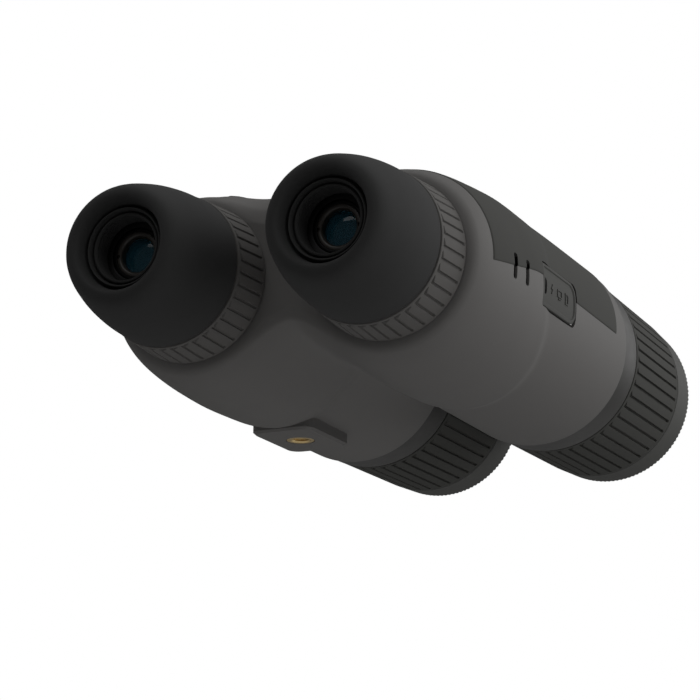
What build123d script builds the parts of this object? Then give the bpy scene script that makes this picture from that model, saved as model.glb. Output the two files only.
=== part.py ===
"""Digital day-and-night binoculars: two barrels on one bridge, as separate pieces.

Frame: +Y is the viewing direction, +X is the user's right, +Z is up. The origin is the
middle of the resting plane, which is the face of the tripod pad. Millimetres.
"""

import os

from build123d import *

os.makedirs("parts", exist_ok=True)

# ---------------------------------------------------------------- driving dimensions
BARREL_GAP = 66.0  # between the two barrel axes, an adult's eye spacing
LENGTH = 246.5  # eyecup rim to hood rim
AXIS_X = BARREL_GAP / 2
AXIS_Z = 34.5  # barrel axis above the resting plane
EYE_X = AXIS_X - 0.2  # the eyepieces stand a little inside and below the barrel axes
EYE_Z = AXIS_Z - 1.2
RIM_Y = -LENGTH / 2  # eyecup rim
HOOD_Y = LENGTH / 2  # hood rim

WALL = 3.2  # housing wall
SKIN = 1.4  # rubber panels laid on the housing
GAP = 0.3  # line between neighbouring outside pieces
RUN = 0.05  # radial clearance of a running fit

# Stations along the barrel, from the eye to the front
CUP_END_Y = -93.0
DIOPTRE_Y = (-92.7, -77.1)
SHELL_Y = (-76.8, 46.2)
COLLAR_Y = (46.5, 59.7)
FOCUS_Y = (60.0, 107.6)
HOOD_BACK_Y = 107.9

# Radii, about the barrel axis or the eyepiece axis
BARREL_R = 32.45
SWELL_R = 32.9
COLLAR_R = 31.6
FOCUS_R = (31.5, 30.9)
HOOD_R = (30.8, 30.1)
CUP_BASE_R = 23.8
DIOPTRE_R = (24.0, 25.1)
EYE_TUBE_R = 21.0
EYE_BORE_R = 17.05
FRONT_TUBE_R = 27.5
FRONT_BORE_R = 25.05
HOOD_BORE_R = 25.6

# Bridge
DECK_Z = AXIS_Z + 28.5
DECK_SKIN = 1.6
DECK_SIZE = (40.0, 86.0)
DECK_MID_Y = -7.0
WEB_HALF_X = 22.0

# Rubber panels over the top and outer side of each barrel
PANEL_Y = (-70.0, 27.0)
PANEL_ARC = 112
PANEL_REACH = 37.0  # beyond any housing radius

# Controls
FOCUS_RIBS = 48
DIOPTRE_RIBS = 40
BUTTONS = {  # place of each key along the bridge
    "power_button": -38.0,
    "down_button": -18.0,
    "ok_button": -4.0,
    "up_button": 10.0,
    "record_button": 27.0,
}
BUTTON_R = 4.4
BUTTON_WELL_R = 5.8
BUTTON_STAND = 1.2  # keys stand this much above the deck and travel 0.6

# Port bay, on the right barrel's outer side
PORT_Y = (-32.1, -4.4)
PORT_Z = (AXIS_Z - 7.4, AXIS_Z + 4.7)
PORT_R = 32.3
PORT_RIM = 1.5  # tray wall round the cover
HINGE_X = AXIS_X + 30.9
HINGE_R = 1.4
HINGE_Y = PORT_Y[1] - HINGE_R
PIN_R = 0.6

SOCKETS = {  # place along the bay, width and height
    "charge_socket": (-26.0, 7.6, 3.2),
    "video_socket": (-18.3, 5.4, 2.6),
    "card_socket": (-12.4, 2.8, 6.0),
}
SOCKET_BAY = (22.0, 8.6)

# Strap slots, on both barrels' outer sides
SLOT_Y = (-54.8, -44.2)
SLOT_SIZE = (3.2, 8.0)
SLOT_Z = AXIS_Z - 1.0
ANCHOR_SIZE = (18.0, 12.0)
ANCHOR_POCKET = (14.6, 8.4)

# Tripod socket, quarter inch with 20 threads to the inch, under the left barrel
SOCKET_R = 2.55
SOCKET_LENGTH = 9.5
SOCKET_OUTER_R = 4.75
SOCKET_BOSS_R = 8.0
PAD_SIZE = (22.0, 32.0)

# Housing screws and their posts
SCREW_R = 1.25
SCREW_HEAD_R = 2.3
SCREW_HEAD_LOW = DECK_Z - DECK_SKIN - 2.2
SCREW_TIP_Z = AXIS_Z - 8.0

# Battery cells, lying in the left barrel
CELL_R = 9.1
CELL_LENGTH = 65.0
CELL_SPOTS = [(-AXIS_X - 11.6, AXIS_Z - 4.0), (-AXIS_X + 6.8, AXIS_Z - 4.0)]

# Circuit boards
BOARD = 1.6
KEY_BOARD = 1.4
BOARD_SIZE = (17.0, 84.0)
KEY_BOARD_Z = AXIS_Z + 20.6

SIDES = {"left": -1, "right": 1}
STANDING = (Align.CENTER, Align.CENTER, Align.MIN)
POST_R = 3.4
SCREW_SPOTS = [(x, y) for x in (-12.5, 12.5) for y in (-47.0, -11.0, 33.0)]


def save(piece, name):
    """Label one finished piece and write it as its own STEP file."""
    piece.part.label = name
    export_step(piece.part, f"parts/{name}.step")


def barrel(side):
    """Plane through a barrel axis: x is the radius, y runs along the barrel."""
    return Plane(origin=(side * AXIS_X, 0, AXIS_Z))


def eye(side):
    """Plane through an eyepiece axis: x is the radius, y runs along the eyepiece."""
    return Plane(origin=(side * EYE_X, 0, EYE_Z))


def turned(plane, outline):
    """A ring or tube turned about the plane's y axis from straight (radius, y) corners."""
    with BuildPart() as ring:
        with BuildSketch(plane):
            with BuildLine():
                Polyline(*outline, close=True)
            make_face()
        revolve(axis=Axis(plane.origin, (0, 1, 0)))
    return ring


def cap_middle(radius, bulge):
    """How far a spherical cap of that rim radius and bulge stands up at half its rim radius."""
    sphere = (radius**2 + bulge**2) / (2 * bulge)
    return bulge - sphere + (sphere**2 - radius**2 / 4) ** 0.5


def lens(plane, radius, back, front, front_bulge):
    """A round lens, flat behind, with a cylinder edge and a spherical cap towards front."""
    tip = front + front_bulge
    middle = (radius / 2, front + cap_middle(radius, abs(front_bulge)) * (1 if front_bulge > 0 else -1))
    with BuildPart() as glass:
        with BuildSketch(plane):
            with BuildLine():
                Polyline((0, tip), (0, back), (radius, back), (radius, front))
                ThreePointArc((radius, front), middle, (0, tip))
            make_face()
        revolve(axis=Axis(plane.origin, (0, 1, 0)))
    return glass


# ---------------------------------------------------------------- housing form
def housing_form(inset):
    """Both barrels and the bridge as one solid, with every face moved in by inset."""
    with BuildPart() as form:
        for side in SIDES.values():
            with BuildSketch(eye(side)):
                with BuildLine():
                    back = SHELL_Y[0] + inset
                    Line((0, back), (25.2 - inset, back))
                    swell = Spline(
                        (25.2 - inset, back),
                        (28.4 - inset, back + 2.2),
                        (31.0 - inset, -63.5),
                        (32.3 - inset, -50.0),
                        (SWELL_R - inset, -36.0),
                        (31.6 - inset, -14.0),
                    )
                    Line(swell @ 1, (0, -14.0))
                    Line((0, -14.0), (0, back))
                make_face()
            revolve(axis=Axis(eye(side).origin, (0, 1, 0)))
            with BuildSketch(Plane.XZ.offset(-SHELL_Y[1] + inset)):
                with Locations((side * AXIS_X, AXIS_Z)):
                    Circle(BARREL_R - inset)
            extrude(amount=SHELL_Y[1] - inset + 36.0)
        with BuildSketch(Plane.YZ):
            with BuildLine():
                top = Spline(
                    (SHELL_Y[0] + 1.5 + inset, AXIS_Z + 20.0 - inset),
                    (-68.0 + inset, AXIS_Z + 26.0 - inset),
                    (-52.0, DECK_Z - inset),
                    tangents=((0.3, 1.0), (1.0, 0.0)),
                )
                deck = Line(top @ 1, (38.0 - inset, DECK_Z - inset))
                nose = Line(deck @ 1, (44.0 - inset, AXIS_Z + 20.0))
                front = Line(nose @ 1, (40.0 - inset, AXIS_Z - 8.0 + inset))
                belly = Spline(
                    front @ 1,
                    (0.0, AXIS_Z - 15.0 + inset),
                    (-55.0, AXIS_Z - 18.0 + inset),
                    (SHELL_Y[0] + 1.5 + inset, AXIS_Z - 15.0 + inset),
                )
                Line(belly @ 1, top @ 0)
            make_face()
        extrude(amount=WEB_HALF_X, both=True)
    return form.part


outer_form = housing_form(0)
cavity = housing_form(WALL)


def half_space(upper):
    """A block over or under the split plane between the two housing halves."""
    high = 60.0
    low_face = AXIS_Z if upper else AXIS_Z - high
    with BuildPart() as block:
        with BuildSketch(Plane.XY.offset(low_face)):
            Rectangle(160.0, 280.0)
        extrude(amount=high)
    return block.part


def panel_zone(side):
    """The sector of a barrel's skin that its rubber panel fills."""
    with BuildPart() as zone:
        with BuildSketch(barrel(side)):
            with BuildLine():
                inner = Spline(
                    (side * 28.6, PANEL_Y[0]),
                    (side * 30.1, -52.0),
                    (side * 30.6, -36.0),
                    (side * (BARREL_R - SKIN), -2.0),
                )
                back, front = PANEL_Y
                edge = Line(inner @ 1, (side * (BARREL_R - SKIN), front))
                Polyline(edge @ 1, (side * PANEL_REACH, front), (side * PANEL_REACH, back), inner @ 0)
            make_face()
        revolve(axis=Axis(barrel(side).origin, (0, -side, 0)), revolution_arc=PANEL_ARC)
    return zone.part


def port_block(grow):
    """The space of the port bay, cut from the housing and filled by the tray."""
    with BuildPart() as block:
        with BuildSketch(Plane.YZ.offset(AXIS_X + 19.0)):
            with Locations(((PORT_Y[0] + PORT_Y[1]) / 2, (PORT_Z[0] + PORT_Z[1]) / 2)):
                wide = PORT_Y[1] - PORT_Y[0] + 2 * (PORT_RIM + grow)
                high = PORT_Z[1] - PORT_Z[0] + 2 * (PORT_RIM + grow)
                RectangleRounded(wide, high, 2.5)
        extrude(amount=20.0)
    return block.part


def slot_cuts(side):
    """The two strap slots through one barrel's wall."""
    with BuildPart() as cuts:
        with BuildSketch(Plane.YZ.offset(side * (AXIS_X + 23.0))):
            for middle in SLOT_Y:
                with Locations((middle, SLOT_Z)):
                    RectangleRounded(*SLOT_SIZE, 1.0)
        extrude(amount=side * 14.0)
    return cuts.part


def end_bores():
    """Holes in the end walls for the eyepiece tubes and the objective tubes."""
    with BuildPart() as bores:
        for side in SIDES.values():
            with BuildSketch(Plane.XZ.offset(-SHELL_Y[0] + 1.0)):
                with Locations((side * EYE_X, EYE_Z)):
                    Circle(EYE_TUBE_R + 0.1)
            extrude(amount=-(WALL + 4.0))
            with BuildSketch(Plane.XZ.offset(-SHELL_Y[1] - 1.0)):
                with Locations((side * AXIS_X, AXIS_Z)):
                    Circle(FRONT_TUBE_R + 0.1)
            extrude(amount=WALL + 4.0)
    return bores.part


def deck_zone():
    """The shallow recess in the bridge top that the deck cover fills."""
    with BuildPart() as zone:
        with BuildSketch(Plane.XY.offset(DECK_Z - DECK_SKIN)):
            with Locations((0, DECK_MID_Y)):
                RectangleRounded(*DECK_SIZE, 8.0)
        extrude(amount=DECK_SKIN + 8.0)
    return zone.part


def screw_posts():
    """Posts for the case screws, from the bridge floor to the underside of the deck."""
    with BuildPart() as posts:
        with BuildSketch(Plane.XY.offset(AXIS_Z - 30.0)):
            with Locations(*SCREW_SPOTS):
                Circle(POST_R)
        extrude(amount=60.0)
        add(outer_form, mode=Mode.INTERSECT)
    return posts.part


# ---------------------------------------------------------------- housing pieces
posts = screw_posts()

with BuildPart() as lower_housing:
    add(outer_form)
    with BuildSketch(Plane.XY):
        with Locations((-AXIS_X, 0)):
            RectangleRounded(*PAD_SIZE, 4.0)
    extrude(amount=8.0)
    add(cavity, mode=Mode.SUBTRACT)
    add(posts)
    add(half_space(True), mode=Mode.SUBTRACT)
    # boss that holds the tripod insert
    with BuildSketch(Plane.XY.offset(1.0)):
        with Locations((-AXIS_X, 0)):
            Circle(SOCKET_BOSS_R)
    extrude(amount=SOCKET_LENGTH + 1.5)
    with Locations((-AXIS_X, 0, 0)):
        Cylinder(SOCKET_OUTER_R + RUN, SOCKET_LENGTH + 0.1, align=STANDING, mode=Mode.SUBTRACT)
    with Locations(*[(x, y, SCREW_TIP_Z - 1.0) for x, y in SCREW_SPOTS]):
        Cylinder(SCREW_R + 0.02, 12.0, align=STANDING, mode=Mode.SUBTRACT)
    add(end_bores(), mode=Mode.SUBTRACT)
    for side in SIDES.values():
        add(slot_cuts(side), mode=Mode.SUBTRACT)
    add(port_block(0), mode=Mode.SUBTRACT)

with BuildPart() as upper_housing:
    add(outer_form)
    add(cavity, mode=Mode.SUBTRACT)
    add(posts)
    add(half_space(False), mode=Mode.SUBTRACT)
    add(deck_zone(), mode=Mode.SUBTRACT)
    # screw holes with flat seats for the heads under the deck cover
    with Locations(*[(x, y, AXIS_Z) for x, y in SCREW_SPOTS]):
        Cylinder(SCREW_R + 0.1, 30.0, align=STANDING, mode=Mode.SUBTRACT)
    with Locations(*[(x, y, SCREW_HEAD_LOW) for x, y in SCREW_SPOTS]):
        Cylinder(SCREW_HEAD_R + GAP, 4.0, align=STANDING, mode=Mode.SUBTRACT)
    with Locations(*[(0, y, DECK_Z - 8.0) for y in BUTTONS.values()]):
        Cylinder(BUTTON_WELL_R, 10.0, align=STANDING, mode=Mode.SUBTRACT)
    add(end_bores(), mode=Mode.SUBTRACT)
    for side in SIDES.values():
        add(panel_zone(side), mode=Mode.SUBTRACT)
        add(slot_cuts(side), mode=Mode.SUBTRACT)
    add(port_block(0), mode=Mode.SUBTRACT)

save(lower_housing, "lower_housing")
save(upper_housing, "upper_housing")

for name, side in SIDES.items():
    with BuildPart() as top_panel:
        add(outer_form)
        add(panel_zone(side), mode=Mode.INTERSECT)
        add(slot_cuts(side), mode=Mode.SUBTRACT)
        if side > 0:
            add(port_block(0), mode=Mode.SUBTRACT)
    save(top_panel, f"top_panel_{name}")

with BuildPart() as deck_cover:
    add(outer_form)
    add(deck_zone(), mode=Mode.INTERSECT)
    with Locations(*[(0, y, DECK_Z - 5.0) for y in BUTTONS.values()]):
        Cylinder(BUTTON_R + GAP, 10.0, mode=Mode.SUBTRACT)
save(deck_cover, "deck_cover")

with BuildPart() as housing_screws:
    for x, y in SCREW_SPOTS:
        with BuildSketch(Plane(origin=(x, y, 0), x_dir=(1, 0, 0), z_dir=(0, -1, 0))):
            with BuildLine():
                Polyline(
                    (0, SCREW_TIP_Z),
                    (SCREW_R, SCREW_TIP_Z + 0.6),
                    (SCREW_R, SCREW_HEAD_LOW),
                    (SCREW_HEAD_R, SCREW_HEAD_LOW),
                    (SCREW_HEAD_R, SCREW_HEAD_LOW + 1.8),
                    (0, SCREW_HEAD_LOW + 1.8),
                    close=True,
                )
            make_face()
        revolve(axis=Axis((x, y, 0), (0, 0, 1)))
save(housing_screws, "housing_screws")

with BuildPart() as tripod_socket:
    with BuildSketch(Plane.XY):
        with Locations((-AXIS_X, 0)):
            Circle(SOCKET_OUTER_R)
            Circle(SOCKET_R, mode=Mode.SUBTRACT)
    extrude(amount=SOCKET_LENGTH)
save(tripod_socket, "tripod_socket")

# ---------------------------------------------------------------- strap pockets
for name, side in SIDES.items():
    with BuildPart() as strap_anchor:
        with BuildSketch(Plane.YZ.offset(side * (AXIS_X + 19.5))):
            with Locations(((SLOT_Y[0] + SLOT_Y[1]) / 2, SLOT_Z)):
                RectangleRounded(*ANCHOR_SIZE, 2.0)
        extrude(amount=side * 12.0)
        add(housing_form(WALL + 0.1), mode=Mode.INTERSECT)
        with BuildSketch(Plane.YZ.offset(side * (AXIS_X + 21.0))):
            with Locations(((SLOT_Y[0] + SLOT_Y[1]) / 2, SLOT_Z)):
                RectangleRounded(*ANCHOR_POCKET, 1.0)
        extrude(amount=side * 12.0, mode=Mode.SUBTRACT)
    save(strap_anchor, f"strap_anchor_{name}")

# ---------------------------------------------------------------- port bay
PORT_MID_Y = (PORT_Y[0] + PORT_Y[1]) / 2
PORT_MID_Z = (PORT_Z[0] + PORT_Z[1]) / 2
PORT_WIDE = PORT_Y[1] - PORT_Y[0]
PORT_HIGH = PORT_Z[1] - PORT_Z[0]
COVER_BACK_X = AXIS_X + 30.2

with BuildPart() as port_tray:
    add(port_block(-0.05))
    with BuildSketch(Plane.XZ.offset(-PORT_Y[1] - 4.0)):
        with Locations((AXIS_X, AXIS_Z)):
            Circle(PORT_R - 0.1)
    extrude(amount=PORT_WIDE + 8.0, mode=Mode.INTERSECT)
    # recess for the cover
    with BuildSketch(Plane.YZ.offset(COVER_BACK_X - GAP)):
        with Locations((PORT_MID_Y - HINGE_R / 2, PORT_MID_Z)):
            Rectangle(PORT_WIDE - HINGE_R + 2 * GAP, PORT_HIGH + 2 * GAP)
    extrude(amount=6.0, mode=Mode.SUBTRACT)
    with Locations((HINGE_X, HINGE_Y, PORT_MID_Z)):
        Cylinder(HINGE_R + GAP, PORT_HIGH + 2 * GAP, mode=Mode.SUBTRACT)
    # room for the swung cover in front of the hinge
    with BuildSketch(Plane.YZ.offset(HINGE_X)):
        with Locations((HINGE_Y + (HINGE_R + GAP) / 2, PORT_MID_Z)):
            Rectangle(HINGE_R + GAP, PORT_HIGH + 2 * GAP)
    extrude(amount=4.0, mode=Mode.SUBTRACT)
    # bay for the sockets
    with BuildSketch(Plane.YZ.offset(AXIS_X + 20.5)):
        with Locations((PORT_MID_Y - 1.6, PORT_MID_Z)):
            RectangleRounded(*SOCKET_BAY, 1.0)
    extrude(amount=14.0, mode=Mode.SUBTRACT)
    with Locations((HINGE_X, HINGE_Y, PORT_MID_Z)):
        Cylinder(PIN_R + 0.02, PORT_HIGH + 2.0, mode=Mode.SUBTRACT)
save(port_tray, "port_tray")

with BuildPart() as port_cover:
    with BuildSketch(Plane.YZ.offset(COVER_BACK_X)):
        with Locations((PORT_MID_Y - HINGE_R / 2, PORT_MID_Z)):
            Rectangle(PORT_WIDE - HINGE_R, PORT_HIGH)
    extrude(amount=4.0)
    # finger notch in the rear edge
    with Locations((AXIS_X + PORT_R, PORT_Y[0], PORT_MID_Z)):
        Sphere(2.4, mode=Mode.SUBTRACT)
    with Locations((HINGE_X, HINGE_Y, PORT_MID_Z)):
        Cylinder(HINGE_R, PORT_HIGH)
    with BuildSketch(Plane.XZ.offset(-PORT_Y[1] - 4.0)):
        with Locations((AXIS_X, AXIS_Z)):
            Circle(PORT_R)
    extrude(amount=PORT_WIDE + 8.0, mode=Mode.INTERSECT)
    with Locations((HINGE_X, HINGE_Y, PORT_MID_Z)):
        Cylinder(PIN_R + RUN, PORT_HIGH + 2.0, mode=Mode.SUBTRACT)
save(port_cover, "port_cover")

with BuildPart() as port_cover_pin:
    with Locations((HINGE_X, HINGE_Y, PORT_MID_Z)):
        Cylinder(PIN_R, PORT_HIGH + 1.8)
save(port_cover_pin, "port_cover_pin")

for name, (middle, wide, high) in SOCKETS.items():
    with BuildPart() as socket:
        with BuildSketch(Plane.YZ.offset(AXIS_X + 20.5)):
            with Locations((middle, PORT_MID_Z)):
                RectangleRounded(wide, high, min(wide, high) * 0.25)
        extrude(amount=5.0)
        with BuildSketch(Plane.YZ.offset(AXIS_X + 22.0)):
            with Locations((middle, PORT_MID_Z)):
                RectangleRounded(wide - 0.8, high - 0.8, min(wide, high) * 0.15)
        extrude(amount=4.0, mode=Mode.SUBTRACT)
    save(socket, name)

# ---------------------------------------------------------------- eyepieces
for name, side in SIDES.items():
    spot = eye(side)
    with BuildPart() as eyecup:
        with BuildSketch(spot):
            with BuildLine():
                lip = Spline(
                    (13.3, RIM_Y + 3.9),
                    (13.9, RIM_Y + 1.2),
                    (15.2, RIM_Y),
                    (18.3, RIM_Y + 2.4),
                    (20.3, RIM_Y + 7.6),
                    (22.3, RIM_Y + 15.3),
                    (CUP_BASE_R, CUP_END_Y),
                )
                Polyline(
                    lip @ 1,
                    (EYE_TUBE_R + RUN, CUP_END_Y),
                    (EYE_TUBE_R + RUN, -111.9),
                    (9.7, -111.9),
                    (9.7, RIM_Y + 5.2),
                    (11.7, RIM_Y + 5.2),
                    (11.7, RIM_Y + 3.9),
                    lip @ 0,
                )
            make_face()
        revolve(axis=Axis(spot.origin, (0, 1, 0)))
    save(eyecup, f"eyecup_{name}")

    with BuildPart() as eyepiece_tube:
        add(
            turned(
                spot,
                [
                    (8.0, -111.8),
                    (EYE_TUBE_R, -111.8),
                    (EYE_TUBE_R, -76.0),
                    (EYE_TUBE_R - 1.1, -76.0),
                    (EYE_TUBE_R - 1.1, -74.6),
                    (EYE_TUBE_R, -74.6),
                    (EYE_TUBE_R, -73.5),
                    (21.9, -73.5),
                    (21.9, -71.0),
                    (EYE_BORE_R, -71.0),
                    (EYE_BORE_R, -109.8),
                    (8.0, -109.8),
                ],
            ).part
        )
    save(eyepiece_tube, f"eyepiece_tube_{name}")

    with BuildPart() as dioptre_ring:
        back, front = DIOPTRE_Y
        bore = EYE_TUBE_R + RUN
        sleeve = [(bore, back), (DIOPTRE_R[0], back), (DIOPTRE_R[1], front), (bore, front)]
        add(turned(spot, sleeve).part)
        with BuildSketch(Plane.XZ.offset(-back - 1.5)):
            with Locations((side * EYE_X, EYE_Z)):
                with PolarLocations(DIOPTRE_R[1], DIOPTRE_RIBS):
                    Rectangle(1.6, 0.5)
        extrude(amount=-(front - back - 3.0), mode=Mode.SUBTRACT)
    save(dioptre_ring, f"dioptre_ring_{name}")

    eyepiece_cell = turned(
        spot,
        [
            (6.9, -111.2),
            (7.92, -111.2),
            (7.92, -107.5),
            (EYE_BORE_R - RUN, -107.5),
            (EYE_BORE_R - RUN, -88.0),
            (14.0, -88.0),
            (14.0, -102.0),
            (5.6, -102.0),
            (5.6, -104.2),
            (6.9, -104.2),
        ],
    )
    save(eyepiece_cell, f"eyepiece_cell_{name}")
    save(lens(spot, 6.85, -104.3, -108.2, -1.0), f"eye_lens_{name}")
    save(lens(spot, 13.9, -101.9, -96.5, 2.4), f"field_lens_{name}")
    eye_lens_retainer = turned(spot, [(5.35, -111.2), (6.85, -111.2), (6.85, -108.75), (5.35, -108.75)])
    save(eye_lens_retainer, f"eye_lens_retainer_{name}")

    with BuildPart() as display:
        with BuildSketch(Plane.XZ.offset(71.0)):
            with Locations((side * EYE_X, EYE_Z)):
                RectangleRounded(26.0, 26.0, 3.0)
        extrude(amount=-6.0)
        with BuildSketch(Plane.XZ.offset(71.0)):
            with Locations((side * EYE_X, EYE_Z)):
                Rectangle(14.0, 10.5)
        extrude(amount=-0.6, mode=Mode.SUBTRACT)
    save(display, f"display_{name}")

# ---------------------------------------------------------------- objectives
for name, side in SIDES.items():
    spot = barrel(side)
    seat = FRONT_TUBE_R + 0.1
    back, front = COLLAR_Y
    front_collar = turned(spot, [(seat, back), (31.75, back), (COLLAR_R, front), (seat, front)])
    save(front_collar, f"front_collar_{name}")

    objective_tube = turned(
        spot,
        [
            (FRONT_BORE_R, 40.4),
            (28.9, 40.4),
            (28.9, 42.9),
            (FRONT_TUBE_R, 42.9),
            (FRONT_TUBE_R, 43.9),
            (FRONT_TUBE_R - 1.1, 43.9),
            (FRONT_TUBE_R - 1.1, 45.3),
            (FRONT_TUBE_R, 45.3),
            (FRONT_TUBE_R, 112.0),
            (FRONT_BORE_R, 112.0),
        ],
    )
    save(objective_tube, f"objective_tube_{name}")

    with BuildPart() as focus_ring:
        back, front = FOCUS_Y
        bore = FRONT_TUBE_R + RUN
        sleeve = [(bore, back), (FOCUS_R[0], back), (FOCUS_R[1], front), (bore, front)]
        add(turned(spot, sleeve).part)
        with BuildSketch(Plane.XZ.offset(-back - 2.5)):
            with Locations((side * AXIS_X, AXIS_Z)):
                with PolarLocations(FOCUS_R[0], FOCUS_RIBS):
                    Rectangle(2.2, 0.6)
        extrude(amount=-(front - back - 5.0), mode=Mode.SUBTRACT)
    save(focus_ring, f"focus_ring_{name}")

    lens_hood = turned(
        spot,
        [
            (FRONT_TUBE_R + 0.05, HOOD_BACK_Y),
            (HOOD_R[0], HOOD_BACK_Y),
            (HOOD_R[1], HOOD_Y - 1.0),
            (HOOD_R[1] - 1.0, HOOD_Y),
            (27.0, HOOD_Y),
            (HOOD_BORE_R, HOOD_Y - 2.0),
            (HOOD_BORE_R, 112.1),
            (FRONT_TUBE_R + 0.05, 112.1),
        ],
    )
    save(lens_hood, f"lens_hood_{name}")

    cell_r = FRONT_BORE_R - RUN
    objective_cell = turned(
        spot,
        [(19.5, 88.0), (cell_r, 88.0), (cell_r, 103.0), (22.0, 103.0), (22.0, 90.5), (19.5, 90.5)],
    )
    save(objective_cell, f"objective_cell_{name}")
    save(lens(spot, 21.9, 90.6, 98.0, 3.4), f"objective_lens_{name}")
    objective_retainer = turned(spot, [(20.2, 98.8), (21.95, 98.8), (21.95, 102.6), (21.0, 102.6)])
    save(objective_retainer, f"objective_retainer_{name}")

with BuildPart() as seal_rings:
    for side in SIDES.values():
        grooves = ((eye(side), EYE_TUBE_R, -75.3), (barrel(side), FRONT_TUBE_R, 44.6))
        for plane, tube_r, along in grooves:
            with BuildSketch(plane):
                with Locations((tube_r - 0.5, along)):
                    Circle(0.5)
            revolve(axis=Axis(plane.origin, (0, 1, 0)))
save(seal_rings, "seal_rings")

# ---------------------------------------------------------------- electronics
with BuildPart() as sensor_board:
    with BuildSketch(Plane.XZ.offset(-35.0)):
        with Locations((AXIS_X, AXIS_Z)):
            RectangleRounded(34.0, 34.0, 3.0)
    extrude(amount=-1.6)
save(sensor_board, "sensor_board")

with BuildPart() as image_sensor:
    with BuildSketch(Plane.XZ.offset(-36.6)):
        with Locations((AXIS_X, AXIS_Z)):
            Rectangle(14.0, 11.0)
    extrude(amount=-2.0)
save(image_sensor, "image_sensor")

with BuildPart() as heat_sink:
    with BuildSketch(Plane.XZ.offset(-28.0)):
        with Locations((-AXIS_X, AXIS_Z)):
            Rectangle(24.0, 24.0)
    extrude(amount=-8.6)
    with BuildSketch(Plane.XZ.offset(-28.0)):
        with Locations((-AXIS_X, AXIS_Z)):
            with GridLocations(4.0, 0, 6, 1):
                Rectangle(2.0, 24.0)
    extrude(amount=-6.0, mode=Mode.SUBTRACT)
save(heat_sink, "heat_sink")

with BuildPart() as illuminator:
    add(turned(barrel(-1), [(0, 36.6), (6.0, 36.6), (6.0, 37.8), (0, 37.8)]).part)
    add(lens(barrel(-1), 2.5, 37.0, 37.8, 2.0).part)
save(illuminator, "illuminator")

with BuildPart() as main_board:
    with BuildSketch(Plane.XY.offset(AXIS_Z + 8.0)):
        with Locations((0, -12.0)):
            Rectangle(*BOARD_SIZE)
    extrude(amount=BOARD)
    with BuildSketch(Plane.XY.offset(AXIS_Z + 8.0 + BOARD)):
        with Locations((0, -30.0), (0, 4.0)):
            Rectangle(15.0, 15.0)
    extrude(amount=1.4)
save(main_board, "main_board")

with BuildPart() as key_board:
    with BuildSketch(Plane.XY.offset(KEY_BOARD_Z)):
        with Locations((0, -6.0)):
            Rectangle(*BOARD_SIZE)
    extrude(amount=KEY_BOARD)
    with BuildSketch(Plane.XY.offset(KEY_BOARD_Z + KEY_BOARD)):
        with Locations(*[(0, y) for y in BUTTONS.values()]):
            Circle(2.5)
    extrude(amount=0.8)
save(key_board, "key_board")

with BuildPart() as battery_cells:
    with BuildSketch(Plane.XZ.offset(-27.0)):
        with Locations(*CELL_SPOTS):
            Circle(CELL_R)
    extrude(amount=CELL_LENGTH)
save(battery_cells, "battery_cells")

with BuildPart() as battery_cradle:
    with BuildSketch(Plane.XZ.offset(-27.5)):
        with Locations((-AXIS_X - 2.4, AXIS_Z - 10.0)):
            Rectangle(37.0, 8.0)
        with Locations(*CELL_SPOTS):
            Circle(CELL_R + 0.1, mode=Mode.SUBTRACT)
    extrude(amount=CELL_LENGTH + 1.0)
save(battery_cradle, "battery_cradle")

# ---------------------------------------------------------------- buttons
for name, y in BUTTONS.items():
    with BuildPart() as button:
        with BuildSketch(Plane(origin=(0, y, 0), x_dir=(1, 0, 0), z_dir=(0, -1, 0))):
            with BuildLine():
                Polyline(
                    (0, AXIS_Z + 23.5),
                    (2.0, AXIS_Z + 23.5),
                    (2.0, AXIS_Z + 25.4),
                    (5.4, AXIS_Z + 25.4),
                    (5.4, AXIS_Z + 26.5),
                    (BUTTON_R, AXIS_Z + 26.5),
                    (BUTTON_R, DECK_Z + BUTTON_STAND - 0.5),
                    (BUTTON_R - 0.5, DECK_Z + BUTTON_STAND),
                    (0, DECK_Z + BUTTON_STAND),
                    close=True,
                )
            make_face()
        revolve(axis=Axis((0, y, 0), (0, 0, 1)))
    save(button, name)
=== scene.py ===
"""Looks of the digital binoculars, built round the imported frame.

Every shape is worked out in millimetres and written in metres, in the frame's own axes:
+Y is the viewing direction, +X the user's right and +Z up.
"""

import logging
import math
from collections.abc import Callable, Sequence
from dataclasses import dataclass
from enum import Enum

import bmesh
import bpy
import numpy as np
from mathutils import Matrix, Vector


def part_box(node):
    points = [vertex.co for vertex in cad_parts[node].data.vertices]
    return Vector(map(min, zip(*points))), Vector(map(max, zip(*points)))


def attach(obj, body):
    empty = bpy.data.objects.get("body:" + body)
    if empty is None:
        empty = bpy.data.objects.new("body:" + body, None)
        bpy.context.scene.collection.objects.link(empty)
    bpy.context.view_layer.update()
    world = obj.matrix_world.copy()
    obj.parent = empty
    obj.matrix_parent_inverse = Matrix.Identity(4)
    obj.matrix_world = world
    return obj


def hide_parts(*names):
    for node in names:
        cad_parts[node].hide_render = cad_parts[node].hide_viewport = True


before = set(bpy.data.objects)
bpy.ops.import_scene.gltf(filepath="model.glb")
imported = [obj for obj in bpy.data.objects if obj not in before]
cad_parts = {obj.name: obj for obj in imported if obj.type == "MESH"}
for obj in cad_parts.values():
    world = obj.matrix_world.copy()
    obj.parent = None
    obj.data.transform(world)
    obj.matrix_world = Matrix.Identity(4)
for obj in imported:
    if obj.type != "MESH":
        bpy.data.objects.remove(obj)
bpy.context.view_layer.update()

MM = 0.001
SIDES = {"left": -1.0, "right": 1.0}
TAU = 2 * math.pi

log = logging.getLogger("binoculars")
Point2 = tuple[float, float]
Point3 = tuple[float, float, float]
Tree = bpy.types.NodeTree
Socket = bpy.types.NodeSocket
Placing = Callable[[np.ndarray, np.ndarray, float], np.ndarray]


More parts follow.
